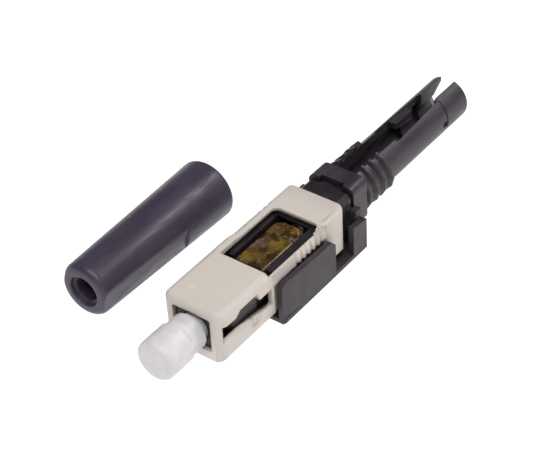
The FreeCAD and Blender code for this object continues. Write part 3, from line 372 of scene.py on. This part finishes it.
# %% Amber cells
AMBER_DEEP, AMBER_OLIVE = (0.030, 0.017, 0.006), (0.150, 0.100, 0.014)
AMBER_BROWN = (0.105, 0.050, 0.020)
AMBER_LIT = (0.300, 0.200, 0.060)
BEND_PER_METRE, BEND_BY = 700.0, (0.0009, 0.0009, 0.0009)
CELLS_PER_METRE = 780.0

amber = Finish("clear_amber_plastic")
wavering = amber.node("ShaderNodeTexNoise", {},
                      {"Vector": amber.place, "Scale": BEND_PER_METRE, "Detail": 2.0}, 1)
bent = amber.node("ShaderNodeVectorMath", {"operation": "MULTIPLY_ADD"},
                  {0: wavering, 1: BEND_BY, 2: amber.place})
cells = amber.node("ShaderNodeTexVoronoi", {},
                   {"Vector": bent, "Scale": CELLS_PER_METRE, "Randomness": 1.0}, 1)
shade = amber.node("ShaderNodeSeparateColor", {}, {0: cells}, 0)
warmth = amber.node("ShaderNodeSeparateColor", {}, {0: cells}, 1)
pools = amber.noise(1.6, detail=2.0, stretch=(0.8, 1, 1), shift=(0.9, 0.2, 0.4))
veins = amber.noise(0.45, roughness=0.65, stretch=(0.6, 1, 1))
olive = amber.mix(amber.ramp(pools + shade * 0.35, 0.45, 0.85), AMBER_DEEP, AMBER_OLIVE)
brown = amber.mix(amber.ramp(warmth, 0.55, 0.75) * 0.8, olive, AMBER_BROWN)
lit = amber.mix(amber.ramp(veins, 0.58, 0.68) * 0.65, brown, AMBER_LIT)
print("amber cells ready")

# %% [markdown]
# ## The amber splice's patches and rim
# Larger tinted patches lie where the parts inside the splice show through. A thin painted highlight
# runs round the near half of the moulding's raised rim: it follows a long rounded outline, which is
# every point at one distance from a short straight line. A soft shadow darkens the near front corner.

# %% Amber plastic
PATCHES = (                      # behind the face, aside, radius in millimetres, and the tint
    (16.8, 0.2, 1.3, (0.190, 0.130, 0.016)),
    (13.0, 0.9, 0.9, (0.160, 0.115, 0.012)),
    (15.2, -1.2, 1.3, (0.150, 0.095, 0.080)),
    (18.8, -0.7, 1.1, (0.145, 0.088, 0.055)),
    (19.8, 1.3, 0.7, (0.200, 0.075, 0.022)),
    (18.2, 1.6, 0.7, (0.220, 0.150, 0.080)),
)
SPLICE_TOP = AXIS_Z + 2.0
RIM_LINE_R = 1.98                # from the middle line
RIM_LINE_END = 1.6               # X where the outline starts to turn round
# the colour of the painted highlight on the rim
RIM_HIGHLIGHT_TONE = (0.42, 0.30, 0.13)
SHADOW_AT = (3.1, -2.55, 7.0)
SHADOW_TONE = (0.012, 0.010, 0.012)

for behind, aside, radius, tint in PATCHES:
    spread = amber.near((FACE_X - behind, aside, SPLICE_TOP), radius, soft=0.7)
    lit = amber.mix(spread * amber.ramp(pools + shade * 0.3, 0.40, 0.66), lit, tint)
sideways = amber.axis(1)
past_end = amber.node("ShaderNodeMath", {"operation": "MINIMUM"},
                      {0: amber.axis(0) - RIM_LINE_END * MM, 1: 0.0})
from_line = amber.node("ShaderNodeMath", {"operation": "SQRT"},
                       {0: past_end * past_end + sideways * sideways})
off_rim = amber.node("ShaderNodeMath", {"operation": "ABSOLUTE"}, {0: from_line - RIM_LINE_R * MM})
# a painted highlight on the near half of the raised rim, broken up by noise
rim_highlight = (1 - amber.ramp(off_rim, 0.02 * MM, 0.13 * MM)) * amber.ramp(
    amber.noise(0.9, roughness=0.6), 0.42, 0.56)
lit = amber.mix(rim_highlight * (sideways > 0.0) * 0.85, lit, RIM_HIGHLIGHT_TONE)
shadow = amber.near(SHADOW_AT, 1.2, soft=0.35)
relief = shade * 0.5 + pools + veins * 0.5
amber.set(Base_Color=amber.mix(shadow * 0.95, lit, SHADOW_TONE), Roughness=0.20 + pools * 0.12,
          Specular_IOR_Level=0.45,
          Normal=amber.bump(relief, 0.30, strength=0.6, under=amber.soft_edges(0.15)))
print("amber ready with", len(PATCHES), "patches")

# %% [markdown]
# ## Ceramic and metal
# The ferrule and its holder are hidden by the cap, but the model can be opened, so they get their
# own finishes: polished zirconia, turned metal with fine rings across it, and drawn spring wire.

# %% Ceramic and metal finishes
zirconia = Finish("polished_zirconia")
faint = zirconia.noise(0.8)
zirconia.set(Base_Color=zirconia.mix(faint, (0.80, 0.79, 0.76), (0.87, 0.86, 0.83)),
             Roughness=0.10 + faint * 0.05, Specular_IOR_Level=0.6, Coat_Weight=0.3)

turned_metal = Finish("turned_holder_metal")
rings = turned_metal.noise(0.05, detail=2.0, stretch=(1, 0.02, 0.02))
turned_metal.set(Base_Color=turned_metal.mix(rings, (0.50, 0.49, 0.46), (0.64, 0.63, 0.60)),
                 Metallic=1.0, Roughness=0.24 + rings * 0.16,
                 Normal=turned_metal.bump(rings, 0.004, strength=0.5))

wire = Finish("drawn_spring_wire")
drawn = wire.noise(0.08, detail=2.0, roughness=0.6)
wire.set(Base_Color=wire.mix(drawn, (0.42, 0.42, 0.43), (0.60, 0.60, 0.61)), Metallic=1.0,
         Roughness=0.22 + drawn * 0.15)
print("ceramic and metal ready")

# %% [markdown]
# ## Glass and ivory plastic
# The fibre is glass, so thin that only its pale shine counts. The fibre's guide and the wedge are
# an unpainted ivory plastic, cloudy and a little uneven.

# %% Glass and ivory finishes
glass = Finish("silica_fibre")
clear = glass.noise(0.5, detail=2.0)
glass.set(Base_Color=glass.mix(clear, (0.75, 0.80, 0.82), (0.85, 0.90, 0.92)),
          Roughness=0.05 + clear * 0.04)

ivory = Finish("ivory_guide_plastic")
creamy = ivory.noise(0.9)
ivory.set(Base_Color=ivory.mix(creamy, (0.72, 0.71, 0.66), (0.80, 0.79, 0.74)),
          Roughness=0.38 + creamy * 0.1, Normal=ivory.bump(creamy, 0.01, strength=0.4))
print("glass and ivory ready")

# %% [markdown]
# ## Dressing the solids
# A CAD solid whose shape is right stays as it is, and takes its finish in its own material slots.

# %% Dress the CAD nodes
FINISH_OF = {
    "outer_housing": grip,
    "plug_frame": frame_plastic,
    "ferrule": zirconia,
    "ferrule_holder": turned_metal,
    "fibre_stub": glass,
    "splice_base": amber,
    "splice_lid_front": amber,
    "splice_lid_rear": amber,
    "splice_sleeve": amber,
    "rear_body": body_plastic,
    "fibre_guide": ivory,
    "coil_spring": wire,
    "cable_clamp": clamp_plastic,
    "boot": rubber,
    "dust_cap": milk,
    "release_clip": clip_plastic,
    "splice_wedge": ivory,
}


def dress(piece, finish):
    piece.data.materials.clear()
    piece.data.materials.append(finish.material)


for name, finish in FINISH_OF.items():
    dress(nodes[name], finish)
print("dressed", len(FINISH_OF), "solids")

# %% [markdown]
# ## Places and boxes
# Real sizes are easiest to read from the grip's front face and from the optical axis, so `spot`
# turns "this far behind the face, aside and above" into a place in the frame. A box starts as a
# cube, and its upright corners can be rounded with a bevel.


# %% Places and boxes
ALIKE = 1e-6           # metres within which two places count as the same


def spot(behind, aside, above):
    """A place in metres from millimetres behind the grip's face, aside and above the axis."""
    return Vector((FACE_X - behind, aside, AXIS_Z + above)) * MM


def block(front, rear, aside, above):
    """A box between two distances behind the face, with (low, high) pairs aside and above."""
    form = bmesh.new()
    bmesh.ops.create_cube(form, size=MM)
    size = (rear - front, aside[1] - aside[0], above[1] - above[0])
    bmesh.ops.scale(form, vec=size, verts=form.verts)
    middle = spot((front + rear) / 2, sum(aside) / 2, sum(above) / 2)
    bmesh.ops.translate(form, vec=middle, verts=form.verts)
    return form


def round_off(form, edges, radius, segments):
    """Rounds some edges of a form by a radius in millimetres."""
    bmesh.ops.bevel(form, geom=edges, offset=radius * MM, affect="EDGES", segments=segments,
                    profile=0.5, material=-1)


def round_uprights(form, behind, radius):
    """Rounds the upright edges that stand at one distance behind the face."""
    wall = spot(behind, 0, 0).x
    uprights = [edge for edge in form.edges
                if all(abs(vert.co.x - wall) < ALIKE for vert in edge.verts)
                and abs(edge.verts[0].co.y - edge.verts[1].co.y) < ALIKE]
    round_off(form, uprights, radius, 6)
    return form


print("places and boxes ready")

# %% [markdown]
# ## Turned and pushed outlines
# Round pieces are turned: one outline of half the piece is spun about its axis, as on a lathe.
# Slanted cutters are pushed: a flat outline is extruded along a straight line.


# %% Outlines
def rounded(x, radius, rounding, start, end, steps=6):
    """Points of a quarter round between two angles, about a centre at (x, radius)."""
    turns = [math.radians(start + (end - start) * step / steps) for step in range(steps + 1)]
    return [(x + rounding * math.sin(turn), radius + rounding * math.cos(turn)) for turn in turns]


def turned(points, aside, above_floor, closed=True, steps=96):
    """An outline of (x, radius) pairs in millimetres, turned about an axis along X."""
    form = bmesh.new()
    centre = Vector((0, aside, above_floor)) * MM
    ring = [form.verts.new(centre + Vector((x, 0, radius)) * MM) for x, radius in points]
    pairs = list(zip(ring, ring[1:])) + ([(ring[-1], ring[0])] if closed else [])
    edges = [form.edges.new(pair) for pair in pairs]
    bmesh.ops.spin(form, geom=ring + edges, cent=centre, axis=(1, 0, 0), angle=math.tau, steps=steps,
                   use_merge=True)
    return form


def pushed(corners, push):
    """A prism: the face between some corners, extruded along a vector; all in metres."""
    form = bmesh.new()
    face = form.faces.new([form.verts.new(corner) for corner in corners])
    far_side = bmesh.ops.extrude_face_region(form, geom=[face])["geom"]
    far_verts = [part for part in far_side if isinstance(part, bmesh.types.BMVert)]
    bmesh.ops.translate(form, vec=push, verts=far_verts)
    return form


print("outlines ready")

# %% [markdown]
# ## Solids and Booleans
# A form becomes an object with its doubles merged and its faces turned outwards. A CAD node's mesh
# is loose triangles, so a copy of it is merged in the same way before anything cuts it. The exact
# Boolean is slower than the fast one, and keeps thin walls clean.


# %% Solids
SAME_POINT = 1e-7      # metres
SHARP_FROM = 30        # degrees between two faces


def solid(name, form):
    """Closes a form into an object."""
    bmesh.ops.remove_doubles(form, verts=form.verts, dist=SAME_POINT)
    bmesh.ops.recalc_face_normals(form, faces=form.faces)
    mesh = bpy.data.meshes.new(name)
    form.to_mesh(mesh)
    form.free()
    made = bpy.data.objects.new(name, mesh)
    bpy.context.scene.collection.objects.link(made)
    return made


def form_of(mesh):
    form = bmesh.new()
    form.from_mesh(mesh)
    return form


def carve(piece, form, operation="DIFFERENCE"):
    """Cuts a form from the piece, or joins it with operation UNION."""
    tool = solid("tool", form)
    change = piece.modifiers.new("change", "BOOLEAN")
    change.operation = operation
    change.solver = "EXACT"
    change.object = tool
    bpy.context.view_layer.update()
    changed = piece.evaluated_get(bpy.context.evaluated_depsgraph_get())
    shape = bpy.data.meshes.new_from_object(changed)
    piece.modifiers.clear()
    piece.data = shape
    bpy.data.objects.remove(tool)


def complete(piece, finish, body):
    """Shades a piece smooth, gives it its finish and slot, and lets it ride on a body."""
    for face in piece.data.polygons:
        face.use_smooth = True
    piece.data.set_sharp_from_angle(angle=math.radians(SHARP_FROM))
    dress(piece, finish)
    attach(piece, body)
    print(piece.name, len(piece.data.polygons), "faces")


print("solids ready")

# %% [markdown]
# ## The grip's window
# The CAD grip has its window and gates, and this copy of it gets what a hand notices. The first is
# a lip that narrows the window on the far side and behind. It is a plate with a rounded opening,
# stepped like the grip's top, which slopes down a little between two places.

# %% Window lip
LIP_FROM, LIP_TO = 9.5, 21.5                     # millimetres behind the face
LIP_ASIDE, LIP_ABOVE = (-3.8, 4.05), (2.98, 3.4)
SLOPE_FROM, SLOPE_TO, SLOPE_DROP = 12.6, 14.0, 0.25
LIP_CUT_ASIDE, LIP_CUT_ABOVE = (-2.95, 3.98), (2.5, 4.5)
LIP_CUT_REAR, LIP_CUT_ROUND = 20.9, 0.95

grip_shell = solid("grip_shell", form_of(nodes["outer_housing"].data))
plate = block(LIP_FROM, LIP_TO, LIP_ASIDE, LIP_ABOVE)
for behind in (SLOPE_FROM, SLOPE_TO):
    everything = plate.verts[:] + plate.edges[:] + plate.faces[:]
    bmesh.ops.bisect_plane(plate, geom=everything, plane_co=spot(behind, 0, 0), plane_no=(1, 0, 0))
corner = spot(SLOPE_FROM + 0.1, 0, LIP_ABOVE[1] - 0.1)
raised = [vert for vert in plate.verts if vert.co.x > corner.x and vert.co.z > corner.z]
bmesh.ops.translate(plate, vec=(0, 0, SLOPE_DROP * MM), verts=raised)
lip = solid("lip", plate)
opening = block(LIP_FROM - 0.5, LIP_CUT_REAR, LIP_CUT_ASIDE, LIP_CUT_ABOVE)
carve(lip, round_uprights(opening, LIP_CUT_REAR, LIP_CUT_ROUND))
carve(grip_shell, form_of(lip.data), "UNION")
bpy.data.objects.remove(lip)
print("window from", LIP_CUT_ASIDE[0], "aside to", LIP_CUT_REAR, "behind the face")

# %% [markdown]
# ## Finger scoops
# On the real grip a finger rests in a shallow scoop on each side, whose floor leans outwards
# towards the bottom. A block fills the CAD's upright recess, and a slanted cutter opens it again.

# %% Finger scoops
SIDES = (1, -1)
SCOOP_WALL = ((4.36, 0.95), (4.16, 2.7), (4.16, 3.0), (4.9, 3.0), (4.9, 0.95))   # aside and above
SCOOP_FRONT, SCOOP_LENGTH = 10.4, 11.3
SCOOP_FILLER = (10.35, 21.85, (3.85, 4.33), (0.9, 2.95))     # front, rear, aside and above

for near in SIDES:
    filler = block(*SCOOP_FILLER)
    corners = [spot(SCOOP_FRONT, aside, above) for aside, above in SCOOP_WALL]
    slope = pushed(corners, (-SCOOP_LENGTH * MM, 0, 0))
    for form in (filler, slope):
        bmesh.ops.scale(form, vec=(1, near, 1), verts=form.verts)
    carve(grip_shell, filler, "UNION")
    carve(grip_shell, slope)
print("scoops lean from", SCOOP_WALL[1][0], "to", SCOOP_WALL[0][0], "aside")

# %% [markdown]
# ## The lower near wall
# The wall beside the window is lower on the near side, so the amber splice shows over it. It is
# thickened inwards first, and then its top is cut away with a rounded rear corner.

# %% Near wall
NEAR_WALL_TOP = 2.5
NEAR_THICKER = (10.0, 20.9, (3.8, 4.1), (1.0, 2.9))          # front, rear, aside and above
NEAR_CUT_FROM, NEAR_CUT_TO, NEAR_CUT_ROUND = 9.62, 19.8, 0.7
NEAR_CUT_ASIDE, NEAR_CUT_UP_TO = (3.5, 5.0), 4.5

carve(grip_shell, block(*NEAR_THICKER), "UNION")
lowered = block(NEAR_CUT_FROM, NEAR_CUT_TO, NEAR_CUT_ASIDE, (NEAR_WALL_TOP, NEAR_CUT_UP_TO))
carve(grip_shell, round_uprights(lowered, NEAR_CUT_TO, NEAR_CUT_ROUND))
print("near wall", NEAR_WALL_TOP, "above the axis")

# %% [markdown]
# ## Flutes
# Six upright V-shaped flutes in each scoop keep the fingers from slipping, and each is a little
# longer than the one before it. A cone with four sides and equal ends is a square bar, and one of
# its edges cuts the V.

# %% Flutes
FLUTES = 6
FLUTE_R = 0.42
FLUTE_LENGTH, FLUTE_GROWTH = 2.0, 0.2
FLUTE_LEAN = math.radians(6.5)
FLUTE_FIRST, FLUTE_PITCH = 15.7, 1.0
FLUTE_ASIDE = 4.25 + FLUTE_R - 0.36              # 0.36 deep in a wall that stands 4.25 aside
FLUTE_ABOVE, FLUTE_RISE = 1.75, 0.08

for near in SIDES:
    for i in range(FLUTES):
        flute = bmesh.new()
        bmesh.ops.create_cone(flute, cap_ends=True, segments=4, radius1=FLUTE_R * MM,
                              radius2=FLUTE_R * MM, depth=(FLUTE_LENGTH + FLUTE_GROWTH * i) * MM)
        bmesh.ops.rotate(flute, matrix=Matrix.Rotation(FLUTE_LEAN, 3, "X"), verts=flute.verts)
        place = spot(FLUTE_FIRST + FLUTE_PITCH * i, FLUTE_ASIDE, FLUTE_ABOVE + FLUTE_RISE * i)
        bmesh.ops.translate(flute, vec=place, verts=flute.verts)
        bmesh.ops.scale(flute, vec=(1, near, 1), verts=flute.verts)
        carve(grip_shell, flute)
print(FLUTES, "flutes cut on each side")

# %% [markdown]
# ## Rounder corners
# A moulding's corners are never as tight as the first solid has them. The shell is kept only
# inside an envelope whose upright corners and upper rim are well rounded, which rounds all of them
# at once and leaves the gates and the window alone.

# %% Rounded envelope of the grip
GRIP_LENGTH = 25.9
HALF_WIDTH = 4.52
GRIP_UNDER, GRIP_TOP = -3.9, 3.66                # from the axis
FRONT_ROUND, REAR_ROUND, TOP_ROUND = 1.45, 1.3, 0.8

envelope = block(0.0, GRIP_LENGTH, (-HALF_WIDTH, HALF_WIDTH), (GRIP_UNDER, GRIP_TOP))
round_uprights(envelope, 0.0, FRONT_ROUND)
round_uprights(envelope, GRIP_LENGTH, REAR_ROUND)
upper = spot(0, 0, GRIP_TOP).z
top_loop = [edge for edge in envelope.edges
            if all(abs(vert.co.z - upper) < ALIKE for vert in edge.verts)]
round_off(envelope, top_loop, TOP_ROUND, 5)
carve(grip_shell, envelope, "INTERSECT")
complete(grip_shell, grip, "grip")
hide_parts("outer_housing")

# %% [markdown]
# ## The black rim in the window
# Round the splice the body carries a thin rim, so the window looks black right up to its edge. It
# is a plate with a long opening, rounded at the rear like the window, and the splice slides under
# its rear end.

# %% Window rim
RIM_FROM, RIM_TO, RIM_ROUND = 11.25, 21.15, 0.9
RIM_ASIDE, RIM_ABOVE = (-3.3, 3.7), (1.93, 2.4)
RIM_HOLE = (10.0, 20.75, (-2.45, 2.55), (1.0, 3.0))          # front, rear, aside and above
SPLICE_ROOM = (20.7, 21.6, (-2.42, 2.42), (1.0, 2.05))       # the splice's end, under the rim

plate = block(RIM_FROM, RIM_TO, RIM_ASIDE, RIM_ABOVE)
window_rim = solid("window_rim", round_uprights(plate, RIM_TO, RIM_ROUND))
carve(window_rim, block(*RIM_HOLE))
carve(window_rim, block(*SPLICE_ROOM))
complete(window_rim, body_plastic, "connector")

# %% [markdown]
# ## The dust cap
# The cap is turned: a narrow waist next to the grip, then a wider head whose rim is well rounded.
# Spinning one outline makes wall, bore and spigot in one go.

# %% Cap
CAP_REAR, CAP_FRONT = FACE_X + 0.4, FACE_X + 7.2
CAP_R, CAP_ROUND = 2.75, 0.65
WAIST_R, WAIST_FRONT = 2.5, FACE_X + 2.5
NECK_ROUND, NECK_X = 0.15, FACE_X + 2.98         # where the waist widens into the head
BORE_R, BORE_END = 1.3, 21.4
SPIGOT_R, SPIGOT_END = 1.9, 15.3

bore = [(BORE_END, 0.0), (BORE_END, BORE_R), (SPIGOT_END, BORE_R), (SPIGOT_END, SPIGOT_R),
        (CAP_REAR, SPIGOT_R)]
waist = [(CAP_REAR, WAIST_R), (WAIST_FRONT, WAIST_R), (FACE_X + 2.68, WAIST_R + 0.06)]
shoulder = rounded(NECK_X, CAP_R - NECK_ROUND, NECK_ROUND, -80, 0, steps=3)
nose = rounded(CAP_FRONT - CAP_ROUND, CAP_R - CAP_ROUND, CAP_ROUND, 0, 90)
outline = bore + waist + shoulder + nose + [(CAP_FRONT, 0.0)]
cap = solid("cap_shell", turned(outline, 0, AXIS_Z, closed=False))
complete(cap, milk, "cap")
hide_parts("dust_cap")

# %% [markdown]
# ## The boot's wall
# The boot is turned as well, inside and out, so its long wall is perfectly smooth. It lies on its
# side beside the clip, and its wide end's radius is also the height of its axis over the bench.

# %% Boot wall
BOOT_TIP, BOOT_REAR = 21.6, -3.5                 # along X
BOOT_ASIDE = -15.95
SMALL_R, LARGE_R = 3.725, 4.3
WIDE_ROUND, TIP_ROUND = 0.6, 0.95
WIDE_CENTRE, TIP_CENTRE = LARGE_R - 0.62, SMALL_R - 0.93     # so the roundings meet the taper
MOUTH_R, MOUTH_DEPTH = 2.15, 0.6
HOLE_R, HOLE_DEPTH = 1.7, 2.9
HOLLOW_R = 3.175
SOCKET_R, SOCKET_DEPTH = 3.35, 7.2

wide_end = rounded(BOOT_REAR + WIDE_ROUND, WIDE_CENTRE, WIDE_ROUND, -90, 0)
tip = rounded(BOOT_TIP - TIP_ROUND, TIP_CENTRE, TIP_ROUND, 0, 90)
inside = [
    (BOOT_TIP, MOUTH_R + 0.1), (BOOT_TIP - 0.12, MOUTH_R), (BOOT_TIP - MOUTH_DEPTH, MOUTH_R),
    (BOOT_TIP - MOUTH_DEPTH, HOLE_R), (BOOT_TIP - HOLE_DEPTH, HOLE_R), (BOOT_TIP - HOLE_DEPTH, HOLLOW_R),
    (BOOT_REAR + SOCKET_DEPTH, HOLLOW_R), (BOOT_REAR + SOCKET_DEPTH, SOCKET_R), (BOOT_REAR, SOCKET_R),
]
boot_shell = solid("boot_shell", turned(wide_end + tip + inside, BOOT_ASIDE, LARGE_R, steps=128))
print("boot", round(BOOT_TIP - BOOT_REAR, 1), "mm long")

# %% [markdown]
# ## The boot's flats
# Two flats are cut into the narrow half for a grip. They stand a little turned, because the boot
# has rolled as it lay down, and they are deeper towards the tip.

# %% Boot flats
FLAT_LENGTH = 15.8
FLAT_TILT = math.radians(-12)                    # about the boot's axis
DEPTH_AT_TIP, DEPTH_AT_END = 0.48, 0.34
FLAT_PAST_TIP, FLAT_OUT, FLAT_HALF = 1.0, 6.0, 6.0

taper = (LARGE_R - SMALL_R) / (BOOT_TIP - BOOT_REAR)
flat_end = BOOT_TIP - FLAT_LENGTH
at_tip = SMALL_R - DEPTH_AT_TIP - 0.03
at_end = SMALL_R + taper * FLAT_LENGTH - DEPTH_AT_END
for near in SIDES:
    outline = ((BOOT_TIP + FLAT_PAST_TIP, at_tip), (flat_end, at_end), (flat_end, FLAT_OUT),
               (BOOT_TIP + FLAT_PAST_TIP, FLAT_OUT))
    corners = [Vector((x, y * near, -FLAT_HALF)) * MM for x, y in outline]
    flat = pushed(corners, (0, 0, 2 * FLAT_HALF * MM))
    bmesh.ops.rotate(flat, matrix=Matrix.Rotation(FLAT_TILT, 3, "X"), verts=flat.verts)
    bmesh.ops.translate(flat, vec=Vector((0, BOOT_ASIDE, LARGE_R)) * MM, verts=flat.verts)
    carve(boot_shell, flat)
print("flats from", round(flat_end, 1), "mm")

# %% [markdown]
# ## The boot's thread
# Two helical grooves in the wide end take the clamp's two-start thread. A helix is a small
# triangle spun with a step forward at each turn, and its two open ends are filled.

# %% Boot thread
LEAD = 3.36                                      # forward in one turn, millimetres
THREAD_STEPS = 48
THREAD_FRONT = 2.6
TOOTH = ((0.0, 3.25), (1.0, 3.25), (0.5, 3.88))  # x and radius

for start in (0.0, math.pi):
    groove = bmesh.new()
    to_start = Matrix.Rotation(start, 3, "X")
    ring = [groove.verts.new(to_start @ Vector((x, 0, radius)) * MM) for x, radius in TOOTH]
    edges = [groove.edges.new((ring[k], ring[(k + 1) % 3])) for k in range(3)]
    bmesh.ops.spin(groove, geom=ring + edges, cent=(0, 0, 0), axis=(1, 0, 0), angle=math.tau,
                   steps=THREAD_STEPS, dvec=(-LEAD * MM / THREAD_STEPS, 0, 0))
    bmesh.ops.holes_fill(groove, edges=groove.edges, sides=3)
    bmesh.ops.translate(groove, vec=Vector((THREAD_FRONT, BOOT_ASIDE, LARGE_R)) * MM,
                        verts=groove.verts)
    carve(boot_shell, groove)
complete(boot_shell, rubber, "clip")
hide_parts("boot")

# %% [markdown]
# ## The spring
# The ferrule floats on a small coil spring, which gets shorter when the ferrule moves back by 0.8
# millimetres, and a rigid piece cannot do that. This copy of the coil takes the CAD spring's place,
# with a mesh of its own.
# 0.8 millimetres, towards its seat in the body.

# %% Spring
spring = solid("spring_coil", form_of(nodes["coil_spring"].data))
complete(spring, wire, "connector")
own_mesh(spring)
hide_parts("coil_spring")

# %% [markdown]
# ## Bench
# The connector lies on a light table: its white surface glows, so no shadow is seen round the
# pieces and every side wall mirrors white. The dark plastics get their pale sheen from that.

# %% Light table
TABLE_HALF = 3.0                                 # metres from its middle to its edge
WHITE = (1.0, 1.0, 1.0, 1.0)

sheet = bmesh.new()
bmesh.ops.create_grid(sheet, x_segments=1, y_segments=1, size=TABLE_HALF)
table_mesh = bpy.data.meshes.new("light_table")
sheet.to_mesh(table_mesh)
sheet.free()
table = bpy.data.objects.new("light_table", table_mesh)
bpy.context.scene.collection.objects.link(table)
glow = Finish("glowing_white_table")
mottle = glow.noise(60.0, detail=2.0)
glow.set(Base_Color=glow.mix(mottle, (0.18, 0.18, 0.18), (0.20, 0.20, 0.20)), Roughness=1.0,
         Specular_IOR_Level=0.0, Emission_Color=WHITE, Emission_Strength=1.0)
dress(table, glow)
print("light table ready")

# %% [markdown]
# ## Lamps
# A large soft lamp hangs overhead on the camera's side, and a smaller one stands behind on the
# left for the boot's sheen. Each is placed by a direction and a distance, and faces the middle.


# %% Lamps
LAMP_AWAY = 0.60                                 # metres


def lamp(name, towards, size, watts):
    light = bpy.data.lights.new(name, "AREA")
    light.shape = "RECTANGLE"
    light.size, light.size_y = size
    light.energy = watts
    holder = bpy.data.objects.new(name, light)
    bpy.context.scene.collection.objects.link(holder)
    holder.location = Vector(towards).normalized() * LAMP_AWAY
    holder.rotation_euler = Vector(towards).to_track_quat("Z", "Y").to_euler()
    print(name, watts, "W")


lamp("overhead_softbox", (0.28, 0.16, 0.94), (0.40, 0.40), 2.6)
lamp("rear_strip", (-0.61, 0.34, 0.71), (0.28, 0.09), 1.0)

# %% [markdown]
# ## Room
# The room is bright near the horizon on the camera's side and dark overhead and far left, so flat
# tops look deeper than the walls beside them. How far a direction leans to the bright side is its
# dot product with one fixed direction, and that sets the strength of the world's light.

# %% Room
ROOM_DARK, ROOM_BRIGHT = 0.08, 0.32
BRIGHT_TOWARDS = (0.0, 0.5, -0.85)
DARK_UP_TO, BRIGHT_FROM = -0.80, 0.10            # dot products

room = bpy.data.worlds.new("studio_room")
bpy.context.scene.world = room
room.use_nodes = True
air = Network(room.node_tree)
sky = room.node_tree.nodes["Background"]
facing = air.node("ShaderNodeTexCoord", {}, {}, "Generated")
lean = air.node("ShaderNodeVectorMath", {"operation": "DOT_PRODUCT"}, {0: facing, 1: BRIGHT_TOWARDS}, "Value")
brightness = air.node("ShaderNodeMapRange", {},
                      {0: lean, 1: DARK_UP_TO, 2: BRIGHT_FROM, 3: ROOM_DARK, 4: ROOM_BRIGHT})
air.feed(sky.inputs["Strength"], brightness)
air.feed(sky.inputs["Color"], WHITE)
print("room ready")

# %% [markdown]
# ## Handing over
# The Standard view shows colours about as they are written.

# %% View settings
bpy.context.scene.view_settings.view_transform = "Standard"
